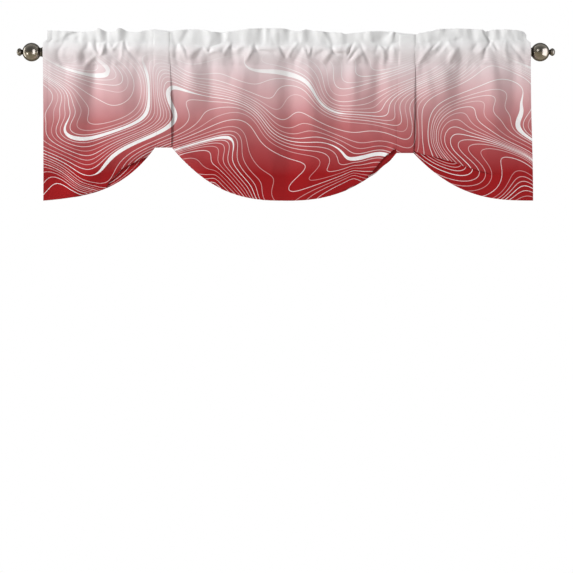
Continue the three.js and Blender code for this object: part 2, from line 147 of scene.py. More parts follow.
# How far the lower layer looks out below the folded one, by the distance from the strap, for each
# row of the table above
SHOWING = (
    ((0, 0), (18, 0), (33, 10), (57, 22), (75, 28), (92, 29), (110, 22), (124, 13), (131, 0)),
    ((0, 0), (20, 2), (60, 2), (90, 0)),
    ((0, 9), (9, 19), (27, 23), (40, 21), (54, 17), (70, 9), (82, 0)),
    ((0, 6), (20, 18), (53, 40), (80, 53), (109, 62), (150, 66), (250, 66)),
)

# Upper edge of the heading: place along the rod, and height
HEADING_EDGE = (
    (-652, 57.5), (-640, 57.5), (-593, 56), (-543, 54), (-523, 56), (-504, 62.5), (-479, 54.5),
    (-463.5, 55.5), (-447.5, 64), (-422, 55), (-400.5, 53.5), (-376.5, 58), (-357.5, 60.5), (-338.5, 59),
    (-309, 56), (-298.5, 57), (-277, 60), (-244.5, 61), (-220, 59), (-196, 54), (-169, 52.5), (-145, 55.5),
    (-121, 59.5), (-95.5, 62.5), (-60.5, 64), (-18.5, 64), (3, 61.5), (16.5, 57), (35, 55), (55.5, 60.5),
    (75.5, 57), (123.5, 53.5), (148, 52), (157.5, 49), (188.5, 51.5), (213, 53.5), (245, 56), (285.5, 55),
    (301.5, 52), (326, 49.5), (348.5, 47.5), (358, 51.5), (387.5, 55.5), (409, 61), (441.5, 62.5),
    (476.5, 62), (506.5, 61.5), (525, 60.5), (537.5, 55), (543.5, 57), (551.5, 59.5), (582.5, 60.5),
    (627, 59), (640, 57), (650, 54.5), (655, 50.5), (657.5, 45),
)

# How far the gathers draw the upper seam up (+) or down (-): place along the rod, and rise
SEAM_PATH = (
    (-652, 0), (-560, 0), (-513, 1.5), (-487, -3), (-438, 1.5), (-419, -5), (-352, -3), (-298, -3),
    (-210, -8), (-150, -1.5), (-83, -7), (-18, -6), (38, -3), (124, -9), (200, 0), (253, -7), (290, -6),
    (362, -6), (401, 0), (463, 4), (547, 0), (590, 2.5), (657, 0),
)

# Lobes of the heading's ruffle: place along the rod at the edge, how far the cloth stands back (+) or
# forward (-) there, and how far to the side the lobe starts at the seam
RUFFLE = (
    (-652, 0, 0), (-618.5, 0, -11), (-586, -2, -35), (-554, 3, -38), (-521.5, -1, -11), (-506.5, -5, 0),
    (-480.5, 4, 3), (-473, 1, 3), (-451, -6, 5), (-419.5, 4, -11), (-400.5, 0, -8), (-384.5, 0, 0),
    (-365.5, 1.5, 0), (-349.5, 0, 0), (-309, 1, 0), (-295.5, -2, 0), (-275.5, -3, -16), (-260.5, 1.5, -19),
    (-234, -1, -16), (-199, -4, -19), (-171, 3, 0), (-156, -0.5, 0), (-129, -2, 0), (-99.5, -5, 0),
    (-60.5, 4, 0), (-53.5, 0, 0), (-21.5, -4, -16), (8.5, 3, -11), (36.5, -4, 11), (70, 3, 3),
    (86.5, -1, 5), (99, -4, 22), (122, 3.5, 4), (136, 0.5, 3), (159, -2, 11), (178, 1, 11), (204.5, -2, 0),
    (239.5, -4, -24), (284, 3, -38), (288, -2, -8), (297.5, 3, -8), (304, 1, 0), (350, 0, 0), (377, -2, -5),
    (410.5, -4, -8), (432, 2.5, -5), (455, -2, 0), (476.5, -2, 0), (508.5, 1.5, -5), (530, -4, 12),
    (545.5, 3.5, 0), (560, 1, 3), (576, 2.5, 5), (586, -0.5, 5), (596, -1.5, 5), (613, 1.5, 8), (629.5, 0, 0),
    (643, 1.5, 0), (650, 4, 0),
)

# Gathers, one by one. Each runs from one place to another, with a bow to its right at the middle, a
# width at both ends and a depth, which goes into the cloth (+) or stands out of it (-).
GATHERS = (
    (-597, 22, -591.5, -40, -16.1, 5.9, 9.4, 6),
    (-591.5, 40.5, -559.5, 54, 0, 4.8, 4.8, 4),
    (-562, 38, -556.5, 24.5, 0, 6.7, 6.7, 4),
    (-592, 8, -558, 4, 1.6, 3.5, 4, 3),
    (-530.5, 23, -545, -27, 0, 5.9, 13.4, 10),
    (-527, 24.5, -492, -29.5, 0, 3.2, 4, -5),
    (-505.5, -16, -521.5, -69.5, 0, 8.1, 18.8, 6),
    (-512, -10.5, -546, -41.5, 0, 4.3, 5.4, -5),
    (-510, 27, -501.5, -5, -2.7, 3.8, 4, 10),
    (-507, 23, -489.5, 28.5, 0, 3.2, 3.2, 4),
    (-489.5, 23, -497.5, -10.5, 2.7, 4, 3.8, -7),
    (-481, 23, -476, -8, 0, 3.8, 12.1, 8),
    (-476, 24.5, -465, 3, 0, 3.2, 3.2, -5),
    (-465, 3, -446.5, 23, 2.7, 3.5, 4, -5),
    (-484, -2.5, -443.5, -6.5, 5.4, 8.1, 8.1, 5),
    (-439.5, 23, -443.5, -21.5, 1.3, 4, 4.8, -6),
    (-432, 26, -423.5, 3, -1.3, 3.2, 3.8, 9),
    (-423.5, 3, -395, -21.5, 0, 4.8, 9.4, 6),
    (-291.5, 22, -298.5, -18.5, 0, 3.5, 9.4, 7),
    (-285, 23, -268.5, -18.5, 0, 4.3, 4.8, -6),
    (-275.5, 18, -264.5, 0.5, 0, 2.4, 2.7, 4),
    (-196, 39.5, -258, -12, 0, 9.4, 8.1, -6),
    (-217.5, 22, -250, -26.5, 0, 5.4, 16.1, 9),
    (-219, 23, -207, -6.5, -1.6, 3.2, 3.5, -5),
    (-207, -6.5, -166.5, -9, 9.1, 3.8, 4.3, -5),
    (-166.5, -9, -147.5, 23, 2.2, 4.3, 4.3, -6),
    (-206.5, 0.5, -203, 19, -2.2, 3.5, 4, 9),
    (-203, 19, -174.5, 26, -2.2, 3.8, 4, 7),
    (-146.5, 19, -142.5, -21.5, 0, 3.5, 12.1, 8),
    (-145, 23, -131.5, 11, 0, 2.7, 3, 5),
    (-134, 4.5, -96.5, 23, 2.2, 4.8, 5.4, -5),
    (-107.5, 11, -126, -13, 0, 8.1, 9.4, 5),
    (-92.5, 23, -91, 3, -1.3, 4.3, 4.8, -6),
    (-91, 3, -108.5, -26.5, 0, 4.8, 5.4, -6),
    (-82.5, 26, -75.5, 1.5, -1.6, 3.2, 3.8, 9),
    (-75.5, 1.5, -26.5, -6.5, 4, 4.6, 5.4, 6),
    (-18.5, 20.5, 3, -16, 0, 4, 4.8, 7),
    (-20, 5.5, -8, -18.5, 0, 2.4, 2.7, -3),
    (30, 27, 1.5, -18.5, 0, 4.8, 5.9, -7),
    (46, 16.5, 20.5, -34.5, 0, 6.5, 9.4, 7),
    (51.5, 20.5, 59.5, -2.5, 0, 3.5, 3.5, 6),
    (48.5, 3, 58, -18.5, 0, 2.4, 2.7, -3),
    (69, 13.5, 63.5, -2.5, 0, 2.4, 2.7, -3),
    (71.5, 12.5, 67.5, -16, 0, 3.5, 5.4, 5),
    (102.5, 3, 75.5, -14.5, 0, 6.7, 8.1, 5),
    (121.5, 0.5, 94.5, -29.5, 0, 5.9, 7, -5),
    (121.5, -12, 110.5, -37.5, 0, 4.3, 6.5, 4),
    (123.5, 24.5, 125, 11, -0.5, 3.5, 3.5, 8),
    (125, 11, 136, -6.5, -2.2, 3.5, 4.3, 9),
    (136, -6.5, 159, -8, 2.2, 4.6, 5.4, 6),
    (156.5, -10.5, 151, -53.5, 0, 10.8, 16.1, 5),
    (171, 24.5, 160.5, 0.5, 0, 4.8, 5.4, -5),
    (182, 23, 165.5, -13, 0, 3.8, 3.5, 7),
    (184.5, 16.5, 168.5, -14.5, 0, 3, 3, -5),
    (195.5, 9.5, 169.5, -22.5, 0, 3.8, 3.8, 6),
    (207.5, -1, 175, -25.5, 0, 5.9, 6.5, -5),
    (200.5, 20.5, 223.5, -29.5, 0, 4, 6.5, 7),
    (194, -24, 210, -59, 0, 12.1, 18.8, 4),
    (247.5, 18, 238.5, -8, 0, 3.5, 7, 5),
    (252, 24.5, 264, -8, 0, 4.8, 5.4, -6),
    (264, -8, 261, -37.5, 0, 5.9, 7, -4),
    (253, 26, 266.5, 11, 0, 2.4, 2.7, 5),
    (282.5, 23, 276, 5.5, 0, 3.8, 5.4, 8),
    (276, 5.5, 276, -26.5, 0, 6.5, 9.7, 7),
    (288, 20.5, 300, 8.5, 0, 2.4, 2.7, 3),
    (362, 16.5, 355.5, 3, 0, 3.8, 4.3, 3),
    (386.5, 13.5, 351.5, -37.5, 0, 5.4, 6.5, -6),
    (397, 0.5, 375.5, -48, 0, 8.1, 18.8, 8),
    (406.5, 23, 387.5, 4.5, 0, 2.4, 2.7, 4),
    (418.5, 26, 398.5, 4.5, 0, 3.5, 3.8, -5),
    (430.5, 22, 402.5, -8, 0, 4.6, 5.9, 6),
    (430.5, 5.5, 441.5, -5, 0, 8.1, 8.1, 4),
    (436, 23, 459, 5.5, -4.8, 4.8, 5.4, -6),
    (459, 5.5, 438.5, -29.5, -2.7, 5.4, 6.5, -6),
    (476.5, -2.5, 457.5, -53.5, 0, 13.4, 21.5, 6),
    (455, 27, 471, 32.5, 0, 3.2, 3.2, 4),
    (516.5, 20.5, 498, 1.5, 0, 4.3, 5.4, 5),
    (542.5, 13.5, 511.5, -6.5, 0, 4.8, 5.4, -5),
    (531.5, 57, 550.5, 30, -2.7, 3.2, 3.2, 8),
    (550.5, 30, 534, 5.5, 1.6, 3.5, 4, 9),
    (534, 5.5, 531.5, -24, 0, 4.3, 8.1, 7),
    (550.5, 22, 564, -1, 0, 3, 3.2, -4),
    (557, 26, 568, 4.5, 0, 3.5, 4.3, 5),
    (568, 26.5, 592, 25.5, -1.6, 3.2, 3.5, -4),
    (592, 25.5, 597.5, -24, -7, 4.8, 7, -4),
    (605.5, 16.5, 643, -26.5, 0, 4.8, 7, 7),
    (619, -8, 627, -32, 0, 5.4, 6.5, -3),
)

# Small bulges and dents between the gathers: place, half width, half height and depth
BULGES = (
    (-575.5, -9, 13.4, 13.4, -2),
    (-408.5, 16.5, 17.5, 9.7, -6),
    (-465, 16.5, 5.9, 8.1, 3),
    (-456, -10, 17.5, 12.1, 6),
    (-399, -12, 14.8, 11.3, 4),
    (-189.5, 5.5, 16.1, 11.3, -5),
    (-51, 13, 25.6, 11.3, -6),
    (4.5, 13.5, 10.8, 8.6, -4),
    (34, 22, 7, 7, -3),
    (97, 18, 21.5, 9.7, -5),
    (144, 9.5, 16.1, 13.4, -6),
    (218, 13.5, 12.1, 10.8, -3),
    (239.5, 23, 6.7, 5.4, -3),
    (366, 24.5, 16.1, 8.1, -4),
    (425.5, 12.5, 8.1, 5.4, -2),
    (487, 19, 21.5, 8.1, -4),
    (578.5, 15, 12.1, 9.1, -3),
    (624.5, 5.5, 13.4, 9.4, -3),
    (-607.5, -21.5, 16.1, 16.1, -2),
    (-365.5, 5.5, 16.1, 16.1, -2),
)

# Broad folds of the hanging cloth, in the columns of the gathers
DRAPES = (
    (-566, -30, -572, -190, 0, 22, 34, -4),
    (-516, -25, -520, -230, 0, 20, 36, 8),
    (-452, -30, -440, -160, 0, 16, 26, -3),
    (-400, -30, -392, -150, 0, 14, 20, 3),
    (-248, -30, -262, -170, 0, 16, 26, -4),
    (-204, -25, -196, -150, 0, 18, 26, 6),
    (-112, -40, -140, -300, -10, 24, 46, -6),
    (4, -25, 6, -345, 8, 24, 40, 8),
    (62, -40, 70, -230, 0, 18, 30, -5),
    (126, -90, 140, -240, 6, 22, 30, 6),
    (186, -30, 178, -180, 0, 16, 24, -4),
    (252, -20, 246, -160, 0, 16, 24, 6),
    (378, -30, 388, -150, 0, 14, 24, -4),
    (428, -30, 424, -150, 0, 22, 22, -3),
    (482, -30, 474, -180, 0, 30, 44, 7),
    (556, -40, 560, -260, 0, 20, 34, -6),
    (614, -30, 618, -180, 0, 14, 24, 4),
)

# Creases that the straps pull into the cloth, in the same columns
PULLS = (
    (-452, -276, -590, -392, -6, 15, 26, -7),
    (-480, -238, -628, -346, -8, 18, 30, 6),
    (-356, -264, -436, -330, 4, 5, 9, 3),
    (-360, -248, -450, -294, 6, 6, 12, -3),
    (-364, -226, -474, -260, 8, 7, 18, 2.5),
    (-296, -266, -232, -332, 0, 6, 9, 3),
    (-294, -250, -208, -322, -4, 6, 12, -3),
    (-292, -232, -190, -296, -6, 7, 16, 2.5),
    (292, -276, 232, -338, 6, 6, 9, 3),
    (288, -262, 208, -334, 8, 6, 12, -3),
    (284, -244, 184, -302, 8, 7, 18, 2.5),
    (356, -272, 474, -308, -6, 5, 14, 3),
    (358, -256, 486, -284, -6, 6, 16, -3),
    (358, -238, 476, -260, -6, 7, 18, 2.5),
)


# Small helpers


def linear(hex_colour):
    """An sRGB hex colour as the linear numbers that Blender's sockets hold."""
    parts = [int(hex_colour[i : i + 2], 16) / 255 for i in (1, 3, 5)]
    return tuple(p / 12.92 if p <= 0.04045 else ((p + 0.055) / 1.055) ** 2.4 for p in parts)


def smooth(low, high, value):
    """0 up to low and 1 from high on, with a soft step between."""
    t = np.clip((value - low) / (high - low), 0, 1)
    return t * t * (3 - 2 * t)


def blend(a, b, t):
    return a + (b - a) * t


def spaced(low, high, count, narrow):
    """Even steps from low to high, with a narrow one at both ends."""
    return np.concatenate([[low], np.linspace(low + narrow, high - narrow, count - 1), [high]])


def new_piece(bm, name, materials):
    """A finished piece from a bmesh, riding on the part's body."""
    mesh = bpy.data.meshes.new(name)
    bm.to_mesh(mesh)
    bm.free()
    for polygon in mesh.polygons:
        polygon.use_smooth = True
    for material in materials:
        mesh.materials.append(material)
    piece = bpy.data.objects.new(name, mesh)
    bpy.context.scene.collection.objects.link(piece)
    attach(piece, "root")
    return piece


def new_tree(owner):
    """The empty node tree of a new material or world."""
    owner.use_nodes = True
    owner.node_tree.nodes.clear()
    return owner.node_tree


def add_node(tree, kind, inputs=(), stops=(), **settings):
    """A shader node with its settings, and with its stops if it has a ramp: rising places, each with a
    linear colour. Its inputs get values, or links from sockets or from a node's first output. A Mix
    node of colours has its factor on input 0 and its colours on 6 and 7."""
    node = tree.nodes.new("ShaderNode" + kind)
    node.location = (190 * (len(tree.nodes) % 12), -230 * (len(tree.nodes) // 12))
    for name, value in settings.items():
        setattr(node, name, value)
    for i, (place, colour) in enumerate(stops):
        ramp = node.color_ramp.elements
        stop = ramp[i] if i < len(ramp) else ramp.new(place)
        stop.position, stop.color = place, (*colour, 1)
    for key, value in dict(inputs).items():
        if isinstance(value, bpy.types.Node):
            value = value.outputs[0]
        if isinstance(value, bpy.types.NodeSocket):
            tree.links.new(value, node.inputs[key])
        else:
            node.inputs[key].default_value = value
    return node


# Settings


class ClothSettings(bpy.types.PropertyGroup):
    thickness: FloatProperty(
        name="Thickness", description="Thickness of one layer of the cloth",
        default=0.7 * MM, min=0.3 * MM, max=1.5 * MM, unit="LENGTH", precision=5,
    )
    gather_depth: FloatProperty(
        name="Gathers", description="Depth of the gathers, as a share of the measured ones",
        default=0.57, min=0, max=1.5, subtype="FACTOR",
    )
    fold_depth: FloatProperty(
        name="Folds", description="Depth of the broad folds, as a share of the measured ones",
        default=1.4, min=0, max=2, subtype="FACTOR",
    )
    columns: IntProperty(
        name="Columns", description="Fineness of the cloth along the rod", default=430, min=60, max=430,
    )
    thread_pitch: FloatProperty(
        name="Thread spacing", description="From one thread of the weave to the next, as drawn",
        default=1.1 * MM, min=0.2 * MM, max=3 * MM, unit="LENGTH", precision=5,
    )
    line_width: FloatProperty(
        name="Line width", description="Width of the thin printed lines",
        default=1.8 * MM, min=0.5 * MM, max=6 * MM, unit="LENGTH", precision=5,
    )
    white: FloatVectorProperty(
        name="Heading", description="Colour of the cloth at the heading",
        default=linear("#F3F3F3"), subtype="COLOR",
    )
    blush: FloatVectorProperty(
        name="Blush", description="Colour at the lower seam of the rod pocket",
        default=linear("#E9D9DB"), subtype="COLOR",
    )
    rose: FloatVectorProperty(
        name="Rose", description="Colour at a quarter of the drop",
        default=linear("#DEB0B3"), subtype="COLOR",
    )
    coral: FloatVectorProperty(
        name="Coral", description="Colour at half of the drop",
        default=linear("#C27476"), subtype="COLOR",
    )
    brick: FloatVectorProperty(
        name="Brick", description="Colour at two thirds of the drop",
        default=linear("#B34D50"), subtype="COLOR",
    )
    deep_red: FloatVectorProperty(
        name="Deep red", description="Colour near the hem",
        default=linear("#A2191D"), subtype="COLOR",
    )


class StrapSettings(bpy.types.PropertyGroup):
    thickness: FloatProperty(
        name="Thickness", description="Thickness of the doubled strap",
        default=0.9 * MM, min=0.6 * MM, max=2 * MM, unit="LENGTH", precision=5,
    )
    width: FloatProperty(
        name="Width", description="Width of a strap across its hemmed edges",
        default=STRAP_WIDTH * MM, min=30 * MM, max=46 * MM, unit="LENGTH", precision=4,
    )


class StitchSettings(bpy.types.PropertyGroup):
    length: FloatProperty(
        name="Stitch length", description="Length of one stitch that shows",
        default=2.6 * MM, min=1 * MM, max=5 * MM, unit="LENGTH", precision=5,
    )
    gap: FloatProperty(
        name="Gap", description="From the end of a stitch to the start of the next",
        default=1.2 * MM, min=0.3 * MM, max=4 * MM, unit="LENGTH", precision=5,
    )
    thread: FloatProperty(
        name="Thread", description="Thickness of the sewing thread",
        default=0.5 * MM, min=0.2 * MM, max=1 * MM, unit="LENGTH", precision=5,
    )


class MetalSettings(bpy.types.PropertyGroup):
    colour: FloatVectorProperty(
        name="Metal", description="Colour of the bare plating",
        default=linear("#BBB4A8"), subtype="COLOR",
    )
    tarnish: FloatVectorProperty(
        name="Tarnish", description="Colour of the dark finish in the grooves",
        default=linear("#2C281F"), subtype="COLOR",
    )
    roughness: FloatProperty(
        name="Roughness", description="Roughness of the polished plating",
        default=0.2, min=0, max=1, subtype="FACTOR",
    )


class StageSettings(bpy.types.PropertyGroup):
    lens: FloatProperty(
        name="Lens", description="Focal length of the camera", default=135, min=35, max=300, unit="CAMERA",
    )
    view_width: FloatProperty(
        name="View width", description="Width of the picture at the cloth",
        default=PHOTO_WIDTH * PHOTO_SCALE * MM, min=0.5, max=3, unit="LENGTH",
    )
    floor_colour: FloatVectorProperty(
        name="Floor", description="Colour of the floor", default=linear("#E6E5E2"), subtype="COLOR",
    )
    key_power: FloatProperty(
        name="Key light", description="Power of the large light at the upper left",
        default=1235, min=0, max=5000,
    )
    room: FloatProperty(
        name="Room", description="Strength of the even light from in front", default=0.146, min=0, max=2,
    )
    behind: FloatProperty(
        name="Behind", description="Strength of the even light from behind", default=0.616, min=0, max=2,
    )


# The cloth's shape


def under_strap(x, z=TOP_SEAM):
    """1 on the cloth that lies under a strap, fading to 0 beside it."""
    most = np.zeros(np.broadcast(x, z).shape)
    for strap in STRAPS.values():
        middle = strap["x"] + strap["lean"] * (TOP_SEAM - z) / (TOP_SEAM - strap["bottom"])
        away = np.abs(x - middle) - STRAP_WIDTH / 2
        most = np.maximum(most, 1 - smooth(1.5, 15, away))
    return most


def fold_depth(table, x, z, fade):
    """Depth of all the folds of a table at x and z. A fold fades over a share of its length at both ends."""
    depth = np.zeros(np.broadcast(x, z).shape)
    for x0, z0, x1, z1, bow, wide0, wide1, deep in table:
        run, rise = x1 - x0, z1 - z0
        length = math.hypot(run, rise)
        along = ((x - x0) * run + (z - z0) * rise) / length**2
        across = ((x - x0) * -rise + (z - z0) * run) / length
        inside = np.clip(along, 0, 1)
        across = across - bow * 4 * inside * (1 - inside)
        shows = smooth(-fade, fade, along) * (1 - smooth(1 - fade, 1 + fade, along))
        depth += deep * shows * np.exp(-((across / blend(wide0, wide1, inside)) ** 2))
    return depth


def bulge_depth(x, z):
    """Depth of the small bulges and dents, which are flatter on top than a bell curve."""
    depth = np.zeros(np.broadcast(x, z).shape)
    for x0, z0, half_width, half_height, deep in BULGES:
        away = ((x - x0) / half_width) ** 2 + ((z - z0) / half_height) ** 2
        depth += deep * np.exp(-(away**1.3))
    return depth


def drawn_height(x, z):
    """The height z after the gathers have drawn the upper seam up and down along the rod."""
    places, rises = (np.array(column, float) for column in zip(*SEAM_PATH))
    rise = eased(places, rises, x) * (1 - under_strap(x))
    return z + rise * np.exp(-(((z - TOP_SEAM) / SEAM_REACH) ** 2))


def clear_of_rod(out, height):
    """A distance from the rod's axis plane, kept outside the rod and eased where it comes near."""
    guard = np.sqrt(np.maximum(ROD_GUARD**2 - height**2, 0))
    sharpness = 1.2
    return guard + np.logaddexp(0, (out - guard) * sharpness) / sharpness


def puckers(x, z):
    """Short creases that the stitching draws into the cloth on both sides of a seam."""
    rng = np.random.default_rng(11)
    depth = np.zeros(np.broadcast(x, z).shape)
    reach = 9.0
    for seam in (TOP_SEAM, LOW_SEAM):
        place = LEFT_EDGE + 6
        while place < RIGHT_EDGE - 6:
            deep = rng.uniform(-1.3, 1.3)
            width = rng.uniform(2.8, 6.0)
            lean = rng.uniform(-0.35, 0.35)
            long = reach * rng.uniform(0.6, 1.4)
            away = np.abs(z - seam)
            middle = place + lean * (z - seam)
            depth += deep * np.exp(-((x - middle) / width) ** 2) * (1 - smooth(long * 0.5, long * 1.6, away))
            place += rng.uniform(9, 19)
    return depth


def crumple(x, z):
    """Slight unevenness of light polyester cloth, in waves that never meet in step."""
    rng = np.random.default_rng(5)
    depth = np.zeros(np.broadcast(x, z).shape)
    for _ in range(CRUMPLE_WAVES):
        angle = rng.uniform(-0.5, 0.5)
        wave = rng.uniform(22, 80)
        phase = rng.uniform(0, TAU)
        turned = TAU * (x * math.cos(angle) + z * math.sin(angle))
        depth += CRUMPLE_SHARE * wave * np.sin(turned / wave + phase)
    return depth


def relief(x, z):
    """How far the cloth lies behind its plain hanging shape, gathers and folds together."""
    share = bpy.context.scene.valance_cloth.gather_depth
    # Below the lower seam the gathers run out slowly
    drawn_out = np.where(z < LOW_SEAM, LOW_SEAM + (z - LOW_SEAM) * RUN_OUT, z)
    pocket = fold_depth(GATHERS, x, drawn_out, GATHER_FADE) + bulge_depth(x, drawn_out) + puckers(x, z)
    folds = bpy.context.scene.valance_cloth.fold_depth
    body = folds * fold_depth(DRAPES, x, z, DRAPE_FADE) + fold_depth(PULLS, x, z, PULL_FADE)
    below = smooth(LOW_SEAM + 10, LOW_SEAM - 40, z)
    uneven = blend(0.5, 0.15, below) + 0.3 * smooth(TOP_SEAM, TOP_SEAM + 6, z) * smooth(-600, -530, x)
    depth = share * pocket + body + crumple(x, z) * uneven
    for seam in (TOP_SEAM, LOW_SEAM):
        depth = depth + SEAM_GROOVE * np.exp(-(((z - seam) / GROOVE_WIDTH) ** 2))
    return depth * (1 - under_strap(x, z))


def eased(places, values, x):
    """Value at x, eased between places that are in order."""
    after = np.clip(np.searchsorted(places, x), 1, len(places) - 1)
    return blend(values[after - 1], values[after], smooth(places[after - 1], places[after], x))


def heading_height(x):
    places, heights = (np.array(column, float) for column in zip(*HEADING_EDGE))
    return eased(places, heights, x)


def ruffle(x, up):
    """How far the heading stands back, from its seam (up = 0) to its edge (1), off the straps."""
    places, stands, leans = (np.array(column, float) for column in zip(*RUFFLE))
    return eased(places + leans * (1 - up), stands, x) * up**0.5 * (1 - under_strap(x))


def hem_at(x):
    """Heights of the hem and the fold above it, the length drawn up behind, and how far the cloth turns."""
    hem, fold, leg, turn = (np.zeros_like(x) for _ in range(4))
    done = np.zeros(x.shape, bool)
    for (name, side, low, straight, power, reach, lobes), showing in zip(SCALLOPS, SHOWING):
        strap = STRAPS[name]
        floor = strap["bottom"] + CAD_STRAP + STRAP_ROOM + CAD_CLOTH / 2
        edge = strap["x"] + strap["lean"] + side * STRAP_WIDTH / 2
        away = (x - edge) * side
        here = (away >= 0) & ((x - low) * side <= 0)
        near = 1 - np.clip(away / abs(low - edge), 0, 1)
        rise = straight * near + (1 - straight) * near**power
        height = blend(LOW_POINT, floor, rise)
        drawn = (height - LOW_POINT) / 2 * (1 - smooth(0.3, 0.9, away / reach))
        height = height - lobes * np.sin(math.pi * np.clip(away / LOBE_WIDTH, 0, 2)) ** 2
        opened = smooth(0.6, 1, away / reach)
        shown = np.maximum(np.interp(away, *zip(*showing)), UNFOLDED_ROOM * opened)
        values = (height, height + shown, drawn, math.pi * (1 - opened))
        for target, value in zip((hem, fold, leg, turn), values):
            target[here] = value[here]
        done |= here
        under = (~done) & (np.abs(x - strap["x"] - strap["lean"]) <= STRAP_WIDTH / 2)
        for target, value in zip((hem, fold, leg, turn), (floor, floor, (floor - LOW_POINT) / 2, math.pi)):
            target[under] = value
        done |= under
    return hem, fold, leg, turn


def placed(x, z):
    """The cloth's sideways shift: the heading draws in at both ends, and the right edge flares."""
    from_left = 1 - smooth(0, EDGE_BLEND, x - LEFT_EDGE)
    from_right = 1 - smooth(0, EDGE_BLEND, RIGHT_EDGE - x)
    heading = smooth(TOP_SEAM - 3, TOP_SEAM + 8, z)
    below = smooth(0, -LOW_POINT, -z)
    return x + HEADING_INSET * heading * (from_left - from_right) + RIGHT_EDGE_FLARE * below * from_right


def body_forward(z):
    """How far the body stands in front of the rod's axis, below the pocket."""
    return LOW_FORWARD * (1 - smooth(0, 150, LOW_SEAM - z))


def body_rows(x):
    """(y, z) from the low seam down to the hem, over the fold that the straps make."""
    hem, fold, leg, turn = hem_at(x)
    start = fold + TURN_RADIUS * np.sin(np.minimum(turn, math.pi / 2))
    rows = []
    for i in range(BODY_ROWS):
        z = blend(LOW_SEAM, start, (i / (BODY_ROWS - 1)) ** 1.3)
        rows.append((-body_forward(z), z))

    def walk(length, angle):
        y, z = rows[-1]
        rows.append((y + length * np.sin(angle), z - length * np.cos(angle)))

    step = np.maximum(TURN_RADIUS * turn / TURN_ROWS, SHORTEST_STEP)
    for i in range(TURN_ROWS):
        walk(step, turn * (i + 0.5) / TURN_ROWS)
    for _ in range(LEG_ROWS):
        walk(np.maximum(leg / LEG_ROWS, SHORTEST_STEP), turn)
    for i in range(TURN_ROWS):
        walk(step, turn * (1 - (i + 0.5) / TURN_ROWS))
    tail_y, tail_z = rows[-1]
    for i in range(1, TAIL_ROWS + 1):
        rows.append((tail_y, blend(tail_z, hem + NARROW, i / TAIL_ROWS)))
    rows.append((tail_y, hem))
    return rows


def seam_pull(z):
    """Share of the relief that is left at a height: the seams hold the cloth, and it grows away from them."""
    near = np.minimum(np.abs(z - TOP_SEAM), np.abs(z - LOW_SEAM))
    return blend(SEAM_HOLD, 1, smooth(0, SEAM_REACH, near) ** 0.6)


def folded(x, z):
    """The relief that shows at a height."""
    return relief(x, z) * seam_pull(z)


def pocket_front(t):
    """How far the pocket's front stands out, from its lower seam (0) to its upper one (1)."""
    widest = 0.6
    seam = LOW_FORWARD if t < widest else TOP_FORWARD
    up = t / widest if t < widest else (1 - t) / (1 - widest)
    profile = 0.5 * math.sin(math.pi * up / 2) + 0.25 * (1 - math.cos(math.pi * up))
    return blend(seam, FRONT_BULGE, profile)


def pressed(t):
    """How much flatter the pocket's front is under a strap, from its lower seam to its upper one."""
    return (FRONT_BULGE - STRAP_BELLY) * math.sin(math.pi * t)


def heading_profile(t):
    """How far the heading stands forward, and half its layers' gap, from its seam (0) to its edge (1)."""
    return TOP_FORWARD * (1 - 0.4 * t), HEADING_LOFT * math.sin(math.pi * min(t * 1.6, 1) / 2)


def cloth_front(z):
    """How far the cloth under a strap stands in front of the rod's axis."""
    if z >= TOP_SEAM:
        return sum(heading_profile((z - TOP_SEAM) / FLAT_HEADING))
    if z >= LOW_SEAM:
        t = (z - LOW_SEAM) / (TOP_SEAM - LOW_SEAM)
        return pocket_front(t) - pressed(t)
    return float(body_forward(z))


def hem_step(inward, hem, height):
    """How far a turned hem stands out, by the distance from the cloth's edge."""
    return height * (1 - smooth(hem - 1.2, hem + 0.6, inward))


def hanging_part(x, side_step):
    """The body from its hem up to the low seam: rows of y, z and the place up the flat cloth."""
    down = body_rows(x)
    lengths = [np.zeros_like(x)]
    for (y0, z0), (y1, z1) in zip(down, down[1:]):
        lengths.append(lengths[-1] + np.hypot(y1 - y0, z1 - z0))
    drop = LOW_SEAM - LOW_POINT
    spare = drop - lengths[-1]
    rows = []
    for (y, z), length in zip(down, lengths):
        from_hem = lengths[-1] - length
        flat = drop - length - spare * (1 - smooth(0, 110, from_hem)) ** 2
        step = np.maximum(side_step, hem_step(from_hem, BOTTOM_HEM, BOTTOM_HEM_STEP))
        rows.append((y + folded(x, z) - step, z, flat))
    return rows[::-1]


def pocket_part(x, side_step):
    """The pocket's front, from the low seam to the upper one: rows of y, z and length of cloth."""
    rows = []
    for i in range(1, POCKET_ROWS + 1):
        t = i / POCKET_ROWS
        z = np.full_like(x, blend(LOW_SEAM, TOP_SEAM, t))
        out = pocket_front(t) - folded(x, z) - under_strap(x) * pressed(t)
        rows.append((-clear_of_rod(out, drawn_height(x, z)) - side_step, z, FLAT_POCKET / POCKET_ROWS))
    return rows


